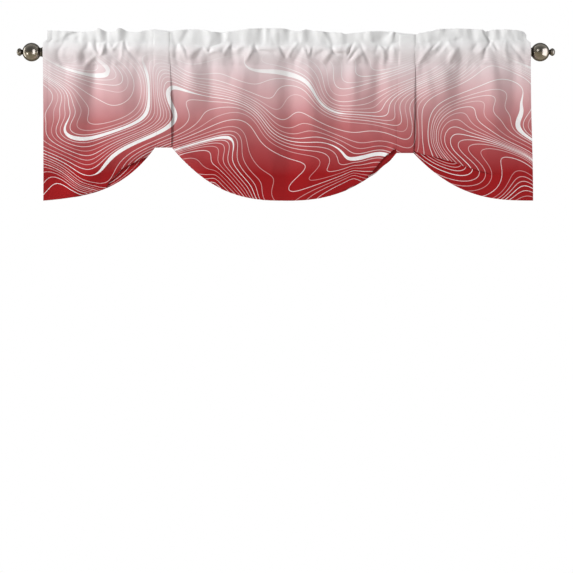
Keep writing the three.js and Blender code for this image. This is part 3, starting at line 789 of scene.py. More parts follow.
def heading_part(x, side_step, back_seam):
    """The heading, up its front, over its edge and down its back to the seam."""
    top = heading_height(x) - HEADING_LOFT
    rows = []
    for i in range(1, HEADING_ROWS + 1):
        t = i / HEADING_ROWS
        z = blend(TOP_SEAM, top, t)
        forward, loft = heading_profile(t)
        y = ruffle(x, t) + folded(x, z) - forward - loft - side_step
        rows.append((y, z, FLAT_HEADING / HEADING_ROWS))
    edge_y, edge_z, _ = rows[-1]
    for degrees in HEADING_TURN:
        angle = math.radians(degrees)
        y = edge_y + HEADING_LOFT * (1 - math.cos(angle))
        rows.append((y, edge_z + HEADING_LOFT * math.sin(angle), FLAT_TURN))
    behind_y = edge_y + 2 * HEADING_LOFT
    for i in range(1, BACK_HEADING_ROWS + 1):
        t = i / BACK_HEADING_ROWS
        z = blend(top, TOP_SEAM, t)
        y = ruffle(x, 1 - t) + folded(x, z) + HEADING_LOFT - TOP_FORWARD * (0.6 + 0.4 * t)
        y = blend(y, back_seam, smooth(0.7, 1, t)) if i < BACK_HEADING_ROWS else back_seam
        rows.append((blend(behind_y, y, smooth(0, 0.3, t)) + side_step, z, FLAT_HEADING / BACK_HEADING_ROWS))
    return rows


def back_part(x, side_step, back_seam):
    """The pocket's back, from the upper seam down past the low one."""
    low_back = relief(x, np.full_like(x, LOW_SEAM)) * SEAM_HOLD + LAYER_GAP - LOW_FORWARD
    rows = []
    for i in range(1, BACK_POCKET_ROWS + 1):
        t = i / BACK_POCKET_ROWS
        z = np.full_like(x, blend(TOP_SEAM, LOW_SEAM, t))
        swell = math.sin(math.pi * t)
        # The back gathers like the front, the other way round
        gathers = relief(-x, z) * (1 - under_strap(x)) * min(1, 1.6 * swell)
        out = BACK_BULGE * swell**0.75 + gathers + blend(back_seam, low_back, t) * (1 - swell)
        inside = clear_of_rod(out, drawn_height(x, z))
        rows.append((np.where(swell > 0.3, inside, out) + side_step, z, FLAT_BACK / BACK_POCKET_ROWS))
    end = np.full_like(x, LOW_SEAM - SEAM_ALLOWANCE)
    rows.append((low_back + 0.6 + side_step, end, SEAM_ALLOWANCE))
    return rows


def cloth_grid(columns):
    """The cloth's middle surface: points[column][row] in millimetres from the hem over the heading to
    the back of the low seam, and each point's place on the flat cloth."""
    x = spaced(LEFT_EDGE, RIGHT_EDGE, columns, NARROW)
    side_step = hem_step(np.minimum(x - LEFT_EDGE, RIGHT_EDGE - x), SIDE_HEM, SIDE_HEM_STEP)
    back_seam = relief(x, np.full_like(x, TOP_SEAM)) * SEAM_HOLD + LAYER_GAP - TOP_FORWARD
    rows = hanging_part(x, side_step)
    for part in (pocket_part(x, side_step), heading_part(x, side_step, back_seam),
                 back_part(x, side_step, back_seam)):
        for y, z, length in part:
            rows.append((y, z, rows[-1][2] + length))
    y, z, up = (np.stack(column, 1) for column in zip(*rows))
    # The cloth turns softly, not sharply, where the seam holds it
    near = slice(TOP_SEAM_ROW - 4, TOP_SEAM_ROW + 5)
    for _ in range(2):
        beside = y[:, near.start - 1 : near.stop - 1] + y[:, near.start + 1 : near.stop + 1]
        y[:, near] = y[:, near] / 2 + beside / 4
    wide = np.broadcast_to(x[:, None], z.shape)
    points = np.stack([placed(wide, z), y, drawn_height(wide, z)], 2)
    return points, np.stack([flat_across(wide), up], 2)


def flat_across(x):
    """A place along the rod as a place across the flat cloth."""
    return (x - LEFT_EDGE) * FLAT_WIDTH / (RIGHT_EDGE - LEFT_EDGE)


def sheet_mesh(points, flat, name, materials):
    """A sheet from a grid, with its flat place on the UV map FlatCloth, in metres."""
    columns, rows = points.shape[0] - 1, points.shape[1] - 1
    bm = bmesh.new()
    bmesh.ops.create_grid(bm, x_segments=columns, y_segments=rows, size=0.5)
    bm.verts.ensure_lookup_table()
    uv = bm.loops.layers.uv.new("FlatCloth")
    place = {}
    for vert in bm.verts:
        i = round((vert.co.x + 0.5) * columns)
        j = round((vert.co.y + 0.5) * rows)
        place[vert] = (i, j)
        vert.co = Vector(points[i, j]) * MM
    for face in bm.faces:
        for loop in face.loops:
            i, j = place[loop.vert]
            loop[uv].uv = flat[i, j] * MM
    return new_piece(bm, name, materials)


# Materials

# The printed contour lines, as a field over the flat cloth in metres. Waves are rows of amount, turns
# for each metre across and up, and phase.
LINES_PER_METRE = 56.0
SWING = ((0.074, 0.645, 3.1, 4.787), (0.021, -1.473, 5.183, 2.321))
HILLS = ((0.099, 1.169, 0.0, 0.681), (0.050, 2.113, 1.111, 3.778), (0.015, 4.106, -1.667, 4.734))
BUNCHING = ((0.88, 0.909, 5.0, 2.45), (0.29, -1.111, 8.475, 2.511))
SLOPE_STEP = 0.0008
LEAST_SLOPE = 6.0
# Every eighth line is a ribbon, which swells by this much on each side, once in this length
RIBBON_EVERY, RIBBON_REACH, RIBBON_LENGTH = 8.0, 0.0062, 0.62


def metre_waves(tree, where, waves, total):
    """Adds amount * sin(2 pi (across * u + up * v) + phase) to the total, over rows of waves."""
    for amount, across, up, phase in waves:
        pace = (TAU * across, TAU * up, 0)
        turns = add_node(tree, "VectorMath", {0: where, 1: pace}, operation="DOT_PRODUCT")
        shifted = add_node(tree, "Math", {0: turns.outputs["Value"], 1: phase}, operation="ADD")
        swing = add_node(tree, "Math", {0: shifted}, operation="SINE")
        total = add_node(tree, "Math", {0: swing, 1: amount, 2: total}, operation="MULTIPLY_ADD")
    return total


def flow_group():
    """Node group: which contour line a place on the flat cloth lies nearest, as a running number."""
    group = bpy.data.node_groups.new("flowing_contours", "ShaderNodeTree")
    group.interface.new_socket("Flat place", in_out="INPUT", socket_type="NodeSocketVector")
    group.interface.new_socket("Line number", in_out="OUTPUT", socket_type="NodeSocketFloat")
    group.interface.new_socket("Along", in_out="OUTPUT", socket_type="NodeSocketFloat")
    start = group.nodes.new("NodeGroupInput")
    end = group.nodes.new("NodeGroupOutput")
    flat = add_node(group, "SeparateXYZ", {0: start})
    u, v = flat.outputs[0], flat.outputs[1]
    # The lines swing sideways, then roll over hills, and bunch up and spread out
    swung = metre_waves(group, start.outputs[0], SWING, u)
    along = add_node(group, "CombineXYZ", {0: swung, 1: v})
    rolled = metre_waves(group, along, HILLS, v)
    height = add_node(group, "CombineXYZ", {0: swung, 1: rolled})
    scaled = add_node(group, "Math", {0: rolled, 1: LINES_PER_METRE}, operation="MULTIPLY")
    number = metre_waves(group, height, BUNCHING, scaled)
    group.links.new(number.outputs[0], end.inputs[0])
    group.links.new(swung.outputs[0], end.inputs[1])
    return group


def print_fade(tree, share):
    """The print's fade from the hem (share 0) to the heading."""
    cloth = bpy.context.scene.valance_cloth
    stops = ((0.115, cloth.deep_red), (0.235, cloth.brick), (0.345, cloth.coral),
             (0.48, cloth.rose), (0.61, cloth.blush), (0.74, cloth.white))
    return add_node(tree, "ValToRGB", {0: share}, stops)


def cloth_material(name, paleness):
    """Printed polyester, plain woven: matt, with a faint sheen at grazing angles from its fine threads.
    On the reverse the print shows through, pale."""
    cloth = bpy.context.scene.valance_cloth
    material = bpy.data.materials.new(name)
    tree = new_tree(material)
    flat = add_node(tree, "UVMap", uv_map="FlatCloth")
    parts = add_node(tree, "SeparateXYZ", {0: flat})

    # Fade from the heading to the hem, by the height on the flat cloth. It wanders up and down a
    # little, in patches about 110 mm across.
    cloud = add_node(tree, "TexNoise", {"Vector": flat, "Scale": 9.0})
    wander = add_node(tree, "Math", {0: cloud, 1: 0.03, 2: -0.015}, operation="MULTIPLY_ADD")
    height = add_node(tree, "Math", {0: parts.outputs[1], 1: wander}, operation="ADD")
    share = add_node(tree, "Math", {0: height, 1: 1 / (FLAT_LENGTH * MM)}, operation="MULTIPLY")
    fade = print_fade(tree, share)

    # Printed lines: the distance to the nearest contour, from the field's slope
    group = flow_group()
    here = add_node(tree, "Group", {0: flat}, node_tree=group)
    slopes = []
    for offset in ((SLOPE_STEP, 0, 0), (0, SLOPE_STEP, 0)):
        moved = add_node(tree, "VectorMath", {0: flat, 1: offset}, operation="ADD")
        there = add_node(tree, "Group", {0: moved}, node_tree=group)
        change = add_node(tree, "Math", {0: there, 1: here}, operation="SUBTRACT")
        slopes.append(add_node(tree, "Math", {0: change, 1: SLOPE_STEP}, operation="DIVIDE"))
    both = add_node(tree, "CombineXYZ", {0: slopes[0], 1: slopes[1]})
    steep = add_node(tree, "VectorMath", {0: both}, operation="LENGTH")
    steep = add_node(tree, "Math", {0: steep.outputs["Value"], 1: LEAST_SLOPE}, operation="MAXIMUM")
    number = add_node(tree, "Math", {0: here}, operation="ROUND")
    off = add_node(tree, "Math", {0: here, 1: number}, operation="SUBTRACT")
    off = add_node(tree, "Math", {0: off}, operation="ABSOLUTE")
    away = add_node(tree, "Math", {0: off, 1: steep}, operation="DIVIDE")
    half = cloth.line_width / 2
    # Some lines are printed fainter than others
    strength = add_node(tree, "Math", {0: number, 1: 2.4}, operation="MULTIPLY")
    strength = add_node(tree, "Math", {0: strength}, operation="SINE")
    strength = add_node(tree, "Math", {0: strength, 1: 0.18, 2: 0.66}, operation="MULTIPLY_ADD")
    thin = add_node(
        tree, "MapRange", {0: away, 1: half * 0.6, 2: half * 1.4, 3: strength, 4: 0.0},
        interpolation_type="SMOOTHSTEP",
    )
    # Every eighth line swells to a ribbon and thins out again along its way
    eighth = add_node(tree, "Math", {0: number, 1: RIBBON_EVERY}, operation="FLOORED_MODULO")
    chosen = add_node(tree, "Math", {0: eighth, 1: 2.0, 2: 0.1}, operation="COMPARE")
    turn = add_node(tree, "Math", {0: number, 1: 1.7}, operation="MULTIPLY")
    phase = add_node(tree, "Math", {0: here.outputs[1], 1: TAU / RIBBON_LENGTH, 2: turn},
                     operation="MULTIPLY_ADD")
    swell = add_node(tree, "Math", {0: phase}, operation="SINE")
    swell = add_node(tree, "Math", {0: swell, 1: 0.0}, operation="MAXIMUM")
    swell = add_node(tree, "Math", {0: swell, 1: 1.2}, operation="POWER")
    # There are no ribbons along the hem
    inner = add_node(tree, "MapRange", {0: parts.outputs[1], 1: 0.035, 2: 0.065})
    swell = add_node(tree, "Math", {0: swell, 1: inner}, operation="MULTIPLY")
    reach = add_node(tree, "Math", {0: swell, 1: RIBBON_REACH, 2: half}, operation="MULTIPLY_ADD")
    inside = add_node(tree, "Math", {0: reach, 1: away}, operation="SUBTRACT")
    ribbon = add_node(tree, "MapRange", {0: inside, 1: -0.0004, 2: 0.0004})
    ribbon = add_node(tree, "Math", {0: ribbon, 1: chosen}, operation="MULTIPLY")
    lines = add_node(tree, "Math", {0: ribbon, 1: thin}, operation="MAXIMUM")
    # The lines fade out in the rod pocket, below the white heading
    faint = add_node(tree, "MapRange", {0: share, 1: 0.57, 2: 0.68, 3: 1, 4: 0.1})
    lines = add_node(tree, "Math", {0: lines, 1: faint}, operation="MULTIPLY")
    # Where the white ink is thin the red under it comes through, so the two are mixed as the eye sees them
    base = add_node(tree, "Gamma", {0: fade, 1: 1 / 2.2})
    inked = add_node(tree, "Mix", {0: lines, 6: base, 7: (1.0, 0.99, 0.99, 1.0)}, data_type="RGBA")
    printed = add_node(tree, "Gamma", {0: inked.outputs[2], 1: 2.2})

    # Plain weave, drawn a little coarser than its real 0.3 mm threads, or it wouldn't show at all,
    # with slubs about 2.4 mm across
    pitch = cloth.thread_pitch
    warp = add_node(tree, "Math", {0: parts, 1: TAU / pitch}, operation="MULTIPLY")
    weft = add_node(tree, "Math", {0: parts.outputs[1], 1: TAU / pitch}, operation="MULTIPLY")
    warp = add_node(tree, "Math", {0: warp}, operation="SINE")
    weft = add_node(tree, "Math", {0: weft}, operation="SINE")
    weave = add_node(tree, "Math", {0: warp, 1: weft}, operation="MULTIPLY")
    slub = add_node(tree, "TexNoise", {"Vector": flat, "Scale": 420.0})
    threads = add_node(tree, "Math", {0: weave, 1: 0.5, 2: slub}, operation="MULTIPLY_ADD")
    shade = add_node(tree, "MapRange", {0: threads, 3: 0.965})
    woven = add_node(tree, "Mix", {0: 1.0, 6: printed, 7: shade}, data_type="RGBA", blend_type="MULTIPLY")
    pale = add_node(tree, "Mix", {0: paleness, 6: woven.outputs[2], 7: (*linear("#E8E1E0"), 1)},
                    data_type="RGBA")
    bump = add_node(tree, "Bump", {"Height": threads, "Strength": 0.25, "Distance": 0.0003})
    shader = add_node(
        tree, "BsdfPrincipled",
        {"Base Color": pale.outputs[2], "Roughness": 0.78, "Specular IOR Level": 0.24,
         "Sheen Weight": 0.06, "Normal": bump},
    )
    add_node(tree, "OutputMaterial", {0: shader})
    return material


def cloth_materials():
    """The printed face and its paler reverse, made once."""
    looks = (("printed_polyester_face", 0.0), ("printed_polyester_reverse", 0.62))
    return [bpy.data.materials.get(name) or cloth_material(name, paleness) for name, paleness in looks]


def thread_material():
    """Spun polyester sewing thread: matt, with a fine twist. The cloth is printed after it is sewn, so
    the thread takes the print's fade."""
    material = bpy.data.materials.new("spun_polyester_thread")
    tree = new_tree(material)
    where = add_node(tree, "TexCoord").outputs["Object"]
    # Twist about 0.6 mm long
    twist = add_node(tree, "TexNoise", {"Vector": where, "Scale": 1600.0})
    height = add_node(tree, "SeparateXYZ", {0: where}).outputs[2]
    share = add_node(tree, "MapRange", {0: height, 1: LOW_POINT * MM, 2: (LOW_POINT + FLAT_LENGTH) * MM})
    fade = print_fade(tree, share)
    shade = add_node(tree, "MapRange", {0: twist, 3: 0.86})
    colour = add_node(tree, "Mix", {0: 1.0, 6: fade, 7: shade}, data_type="RGBA", blend_type="MULTIPLY")
    bump = add_node(tree, "Bump", {"Height": twist, "Strength": 0.3, "Distance": 0.0001})
    shader = add_node(
        tree, "BsdfPrincipled",
        {"Base Color": colour.outputs[2], "Roughness": 0.7, "Sheen Weight": 0.2, "Normal": bump},
    )
    add_node(tree, "OutputMaterial", {0: shader})
    return material


def nickel_material():
    """Antique nickel plating, hand relieved: polished highs, and a dark finish left in the grooves."""
    metal = bpy.context.scene.valance_metal
    material = bpy.data.materials.new("antique_nickel_plating")
    tree = new_tree(material)
    where = add_node(tree, "TexCoord").outputs["Object"]
    groove = add_node(tree, "Attribute", attribute_name="groove").outputs["Fac"]
    # Cloudy tarnish with patches about 6 mm across
    cloud = add_node(tree, "TexNoise", {"Vector": where, "Scale": 160.0, "Detail": 4.0})
    spread = add_node(tree, "MapRange", {0: cloud, 1: 0.35, 2: 0.75, 4: 0.22})
    dark = add_node(tree, "Math", {0: groove, 1: spread}, operation="ADD", use_clamp=True)
    colour = add_node(tree, "Mix", {0: dark, 6: (*metal.colour, 1), 7: (*metal.tarnish, 1)},
                      data_type="RGBA")
    rough = add_node(tree, "MapRange", {0: dark, 3: metal.roughness, 4: 0.5})
    # Fine polishing marks, about 0.4 mm apart
    marks = add_node(tree, "TexNoise", {"Vector": where, "Scale": 2400.0})
    bump = add_node(tree, "Bump", {"Height": marks, "Strength": 0.06, "Distance": 0.0001})
    shader = add_node(
        tree, "BsdfPrincipled",
        {"Base Color": colour.outputs[2], "Metallic": 1.0, "Roughness": rough, "Normal": bump},
    )
    add_node(tree, "OutputMaterial", {0: shader})
    return material


# Operators


class VALANCE_OT_hang_cloth(bpy.types.Operator):
    """Hangs the gathered, printed cloth on the rod"""

    bl_idname = "valance.hang_cloth"
    bl_label = "Hang the cloth"

    def execute(self, context):
        settings = context.scene.valance_cloth
        points, flat = cloth_grid(settings.columns)
        piece = sheet_mesh(points, flat, "valance_cloth", cloth_materials())
        wall = piece.modifiers.new("Cloth thickness", "SOLIDIFY")
        wall.thickness = settings.thickness
        wall.offset = 0
        wall.material_offset = 1
        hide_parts("valance_panel")
        return {"FINISHED"}


def strap_camber(z):
    """How far a strap's middle stands out from its edges. It lies flat down to the pocket's lower seam."""
    return STRAP_CAMBER * (1 - smooth(LOW_SEAM - 10, LOW_SEAM + 20, z))


def strap_route(strap):
    """The strap's side view: down the front, under the drawn-up cloth and up the back."""
    offset = CAD_STRAP / 2 + STRAP_ROOM
    face = CAD_CLOTH + offset
    back = BACK_BULGE + CAD_CLOTH / 2 + offset + STRAP_ROOM
    bend = 2 * TURN_RADIUS
    stack_back = 2 * bend + 1.3 + offset + STRAP_ROOM
    stack_front = CAD_CLOTH / 2 + offset + STRAP_CAMBER
    low = strap["bottom"] + CAD_STRAP / 2
    scene = bpy.context.scene
    rest = (scene.valance_cloth.thickness + scene.valance_straps.thickness) / MM / 2 + STRAP_GAP
    heights = [strap["top"]] + [z for z in range(50, -35, -4) if z < strap["top"] - 2]
    route = [(-(cloth_front(z) + rest + float(strap_camber(z))), z) for z in heights]
    leaves = route[-1][0]
    steps = 8
    for i in range(1, steps):
        z = blend(heights[-1], low + STRAP_CORNER, i / steps)
        free = blend(leaves, -stack_front, (i / steps) ** 0.75) - STRAP_SAG * math.sin(math.pi * i / steps)
        close = -cloth_front(z) - stack_front
        route.append((blend(close, free, strap["loose"]), z))
    for start, way, turns in ((-stack_front, 1, (0, 30, 60, 90)), (stack_back, -1, (90, 60, 30, 0))):
        for degrees in turns:
            angle = math.radians(degrees)
            y = start + way * STRAP_CORNER * (1 - math.cos(angle))
            route.append((y, low + STRAP_CORNER * (1 - math.sin(angle))))
    for i in range(1, 4):
        route.append((blend(stack_back, back, i / 4), blend(low + STRAP_CORNER, -16, i / 4)))
    route += [(back, -14), (back, 2), (back * 0.8, 14), (face + 0.4, TOP_SEAM + 1), (face, strap["top"])]
    return np.array(route, float)


def eased_route(route, count):
    """A smooth line through a route's points at even steps, and its length."""
    steps = np.hypot(*np.diff(route, axis=0).T)
    length = np.concatenate([[0], np.cumsum(steps)])
    places = np.linspace(0, length[-1], count)
    fine = np.stack([np.interp(places, length, route[:, k]) for k in range(2)], 1)
    for _ in range(4):
        fine[1:-1] = fine[1:-1] / 2 + (fine[:-2] + fine[2:]) / 4
    return fine, length[-1]


def strap_grid(name):
    """A strap's middle surface and its place on the flat cloth, as cloth_grid gives them, and its length."""
    strap = STRAPS[name]
    line, length = eased_route(strap_route(strap), STRAP_ROWS + 1)
    half = bpy.context.scene.valance_straps.width / MM / 2
    across = spaced(-1, 1, STRAP_COLUMNS, NARROW / half)[:, None]
    z = np.broadcast_to(line[None, :, 1], (STRAP_COLUMNS + 1, STRAP_ROWS + 1))
    uneven = np.sin(TAU * (z / 43 + across * 0.3) + strap["x"])
    uneven = uneven + np.sin(TAU * (z / 19 - across * 0.5))
    # Down to the pocket's lower seam the edges are sewn down, level with the cloth beside them
    sunk = STRAP_SINK * smooth(LOW_SEAM - 8, LOW_SEAM + 8, z) * across**8
    bowed = strap_camber(z) * across**2 + sunk - STRAP_RIPPLE * (2 + uneven)
    y = line[None, :, 0] + np.where(line[None, :, 0] < 0, bowed, 0)
    lean = strap["lean"] * (TOP_SEAM - z) / (TOP_SEAM - strap["bottom"])
    x = strap["x"] + lean + across * half
    # The straps are cut from the same print, and the lines meet those of the panel beside them
    up = np.interp(z, *zip(*STRAP_PRINT))
    return np.stack([x, y, z], 2), np.stack([flat_across(x), up], 2), length


class VALANCE_OT_loop_straps(bpy.types.Operator):
    """Loops the two flat straps round the drawn-up cloth"""

    bl_idname = "valance.loop_straps"
    bl_label = "Loop the straps"

    def execute(self, context):
        settings = context.scene.valance_straps
        for name in STRAPS:
            points, flat, _ = strap_grid(name)
            side = name.split("_")[1]
            piece = sheet_mesh(points[::-1], flat[::-1], "strap_" + side, cloth_materials())
            wall = piece.modifiers.new("Doubled cloth", "SOLIDIFY")
            wall.thickness = settings.thickness
            wall.offset = 0
            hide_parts(name)
        return {"FINISHED"}


def stitch_row(bm, bead, places, normals, settings, lift):
    """Stitches along a line of points: small stretched beads that lie on the cloth."""
    steps = np.linalg.norm(np.diff(places, axis=0), axis=1)
    length = np.concatenate([[0], np.cumsum(steps)])
    pitch = (settings.length + settings.gap) / MM
    half = settings.length / MM / 2

    def point(line, place):
        return Vector([np.interp(place, length, line[:, k]) for k in range(3)])

    for middle in np.arange(pitch / 2, length[-1] - pitch / 2, pitch):
        at = point(places, middle)
        out = point(normals, middle).normalized()
        along = (point(places, middle + half) - point(places, middle - half)).normalized()
        side = out.cross(along).normalized()
        out = along.cross(side).normalized()
        radius = settings.thread / MM / 2
        turn = Matrix((side, out, along)).transposed().to_4x4()
        scale = Matrix.Diagonal((radius * STITCH_WIDE, radius * STITCH_FLAT, half, 1))
        place = Matrix.Scale(MM, 4) @ Matrix.Translation(at + out * lift) @ turn @ scale
        stitch = bead.copy()
        stitch.transform(place)
        bm.from_mesh(stitch)
        bpy.data.meshes.remove(stitch)


def grid_normals(points):
    """The unit vector square to the surface at each point of a grid."""
    along = np.gradient(points, axis=0)
    up = np.gradient(points, axis=1)
    normal = np.cross(along, up)
    return normal / np.maximum(np.linalg.norm(normal, axis=2, keepdims=True), 1e-9)


def side_line(points, normals, place):
    """A stitching line up the grid at a place between two columns, short of both ends, and its normals."""
    low = int(place)
    return [blend(grid[low], grid[low + 1], place - low)[2:-2] for grid in (points, normals)]


def hem_line(grid, rows):
    """The grid's line at a place between two rows, given for each column."""
    low = rows.astype(int)
    columns = np.arange(len(grid))
    return blend(grid[columns, low], grid[columns, low + 1], (rows - low)[:, None])


def sewn_piece(name, material, lines, settings, lift):
    """All the stitches of some lines, as one piece."""
    bead = bpy.data.meshes.new("stitch")
    bm = bmesh.new()
    bmesh.ops.create_uvsphere(bm, u_segments=6, v_segments=4, radius=1)
    bm.to_mesh(bead)
    bm.free()
    bm = bmesh.new()
    for places, normals in lines:
        stitch_row(bm, bead, places, normals, settings, lift)
    bpy.data.meshes.remove(bead)
    return new_piece(bm, name, [material])


class VALANCE_OT_sew_stitches(bpy.types.Operator):
    bl_idname = "valance.sew_stitches"
    bl_label = "Sew the stitches"

    def execute(self, context):
        settings = context.scene.valance_stitches
        thread = thread_material()
        columns = context.scene.valance_cloth.columns
        points, _ = cloth_grid(columns)
        normals = grid_normals(points)
        lift = context.scene.valance_cloth.thickness / MM / 2 + settings.thread / MM * STITCH_LIFT

        # Both seams show on the front and on the back, and the side hems go over the heading
        seam_rows = (LOW_SEAM_ROW, TOP_SEAM_ROW, BACK_SEAM_ROW)
        seams = [(points[4:-4, row], normals[4:-4, row]) for row in seam_rows]
        places = spaced(LEFT_EDGE, RIGHT_EDGE, columns, NARROW)
        for hem in (LEFT_EDGE + SIDE_HEM, RIGHT_EDGE - SIDE_HEM):
            place = np.interp(hem, places, np.arange(columns + 1))
            seams.append(side_line(points, normals, place))
        sewn_piece("stitches_seams", thread, seams, settings, lift)

        steps = np.linalg.norm(np.diff(points[:, :LOW_SEAM_ROW], axis=1), axis=2)
        lengths = np.concatenate([np.zeros((columns + 1, 1)), np.cumsum(steps, axis=1)], 1)
        rows = np.array([np.interp(BOTTOM_HEM, column, np.arange(column.size)) for column in lengths])
        bottom = (hem_line(points, rows), hem_line(normals, rows))
        sewn_piece("stitches_hem", thread, [bottom], settings, lift)

        straps = context.scene.valance_straps
        lift = straps.thickness / MM / 2 + settings.thread / MM * STITCH_LIFT
        for name in STRAPS:
            points, _, length = strap_grid(name)
            points = points[::-1]
            normals = grid_normals(points)
            half = straps.width / MM / 2
            seam = half - STRAP_SEAM
            across = spaced(-half, half, STRAP_COLUMNS, NARROW)
            places = np.interp((-seam, seam), across, np.arange(STRAP_COLUMNS + 1))
            lines = [side_line(points, normals, place) for place in places]
            side = name.split("_")[1]
            sewn_piece("stitches_" + side, thread, lines, settings, lift)
        return {"FINISHED"}


class VALANCE_OT_fit_rod(bpy.types.Operator):
    """Fits the rod into the pocket"""

    bl_idname = "valance.fit_rod"
    bl_label = "Fit the rod"

    def execute(self, context):
        low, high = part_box("rod")
        radius = (high.z - low.z) / 2
        bm = bmesh.new()
        turn = Matrix.Rotation(math.pi / 2, 4, "Y")
        bmesh.ops.create_cone(bm, cap_ends=True, segments=64, radius1=radius, radius2=radius,
                              depth=high.x - low.x, matrix=Matrix.Translation((low + high) / 2) @ turn)
        rims = [edge for edge in bm.edges if len({round(v.co.x, 5) for v in edge.verts}) == 1]
        bmesh.ops.bevel(bm, geom=rims, offset=ROD_ROUNDING * MM, affect="EDGES", segments=3,
                        profile=0.5, material=-1)
        groove = bm.verts.layers.float.new("groove")
        for vert in bm.verts:
            vert[groove] = ROD_TARNISH
        piece = new_piece(bm, "rod_tube", [nickel_material()])
        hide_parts("rod")
        return {"FINISHED"}


def finial_outline():
    """Half outline of a finial from its collar to its button: radius, place along the axis from the
    ball's middle, and how dark the finish is there."""
    ball, collar, rim, neck, button = 25.0, 12.0, 13.6, 6.8, 10.3
    outline = [
        (0.0, -30.0, 0.8), (11.4, -30.0, 0.8), (12.9, -30.0, 0.3), (13.45, -29.75, 0.0), (rim, -29.2, 0.0),
        (13.5, -28.6, 0.1), (13.0, -28.1, 0.5), (12.3, -27.7, 0.9), (11.9, -27.0, 1.0), (11.75, -26.0, 0.6),
        (11.8, -24.8, 0.35), (collar, -23.8, 0.5), (11.7, -23.0, 0.9), (11.6, -22.5, 1.0),
    ]
    first, last = math.asin(11.9 / ball), math.pi - math.asin(7.0 / ball)
    steps = 24
    for i in range(steps + 1):
        angle = blend(first, last, i / steps)
        edge = min(i, steps - i) / steps
        outline.append((ball * math.sin(angle), -ball * math.cos(angle), max(0.0, 1 - edge * 16)))
    outline += [(neck, 24.3, 1.0), (6.5, 25.0, 0.8), (6.6, 25.9, 0.8), (6.9, 26.5, 1.0)]
    first = math.asin(7.1 / button)
    steps = 14
    for i in range(steps + 1):
        angle = blend(first, math.pi, i / steps)
        radius = button * math.sin(angle) if i < steps else 0.0
        outline.append((radius, 32.5 - 7.5 * math.cos(angle), max(0.3, 0.9 - i * 0.6)))
    return outline


class VALANCE_OT_turn_finials(bpy.types.Operator):
    """Turns the finials on both rod ends"""

    bl_idname = "valance.turn_finials"
    bl_label = "Turn the finials"

    def execute(self, context):
        metal = nickel_material()
        for side, name in ((-1, "finial_left"), (1, "finial_right")):
            bm = bmesh.new()
            groove = bm.verts.layers.float.new("groove")
            line = []
            for radius, along, dark in finial_outline():
                vert = bm.verts.new((side * (BALL_PLACE + along) * MM, 0, radius * MM))
                vert[groove] = dark
                line.append(vert)
            edges = [bm.edges.new(pair) for pair in zip(line, line[1:])]
            bmesh.ops.spin(bm, geom=line + edges, cent=(0, 0, 0), axis=(1, 0, 0), angle=TAU, steps=72,
                           use_merge=True)
            bmesh.ops.remove_doubles(bm, verts=bm.verts, dist=1e-6)
            bmesh.ops.recalc_face_normals(bm, faces=bm.faces)
            piece = new_piece(bm, name + "_turned", [metal])
            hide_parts(name)
        return {"FINISHED"}


# Lights: name, what they are aimed at, bearing (degrees from straight in front, + to the right),
# rise, distance, width, height and power. The key's power is a setting.
LEFT_BALL, RIGHT_BALL = (-BALL_PLACE * MM, 0, 0), (BALL_PLACE * MM, 0, 0)
LAMPS = (
    ("key", (0, 0, -0.15), -50.8, 27.8, 12.0, 3.3, 3.3, 0.0),
    ("back_fill", (0, 0, -0.15), 140.0, 30.0, 24.0, 6.6, 6.6, 3200.0),
    ("left_daylight", LEFT_BALL, 34, -2, 0.3, 0.14, 0.3, 0.34),
    ("left_lamp", LEFT_BALL, -50, -21, 0.3, 0.075, 0.075, 0.07),
    ("left_strip", LEFT_BALL, -102, 0, 0.3, 0.09, 0.41, 0.28),
    ("right_daylight", RIGHT_BALL, 58, -3, 0.3, 0.4, 0.44, 1.2),
    ("right_lamp", RIGHT_BALL, -35, 17, 0.3, 0.09, 0.09, 0.07),
)

# What the metal mirrors: the room from straight in front to straight behind, and from floor to ceiling
ROOM_ENDS = ((0.0, "#5E5E5E"), (0.25, "#747474"), (0.5, "#A0A0A0"), (0.6, "#CCCCCC"), (0.68, "#6A6A6A"),
             (1.0, "#646464"))
ROOM_LEVELS = ((0.42, "#B5AC99"), (0.58, "#F0ECE2"), (1.0, "#FFFFFF"))
GROUND_ENDS = ((0.0, "#8E8776"), (0.25, "#A39B88"), (0.55, "#B5AE9E"), (0.64, "#B5AE9E"), (0.74, "#7A7365"),
               (1.0, "#6E685B"))


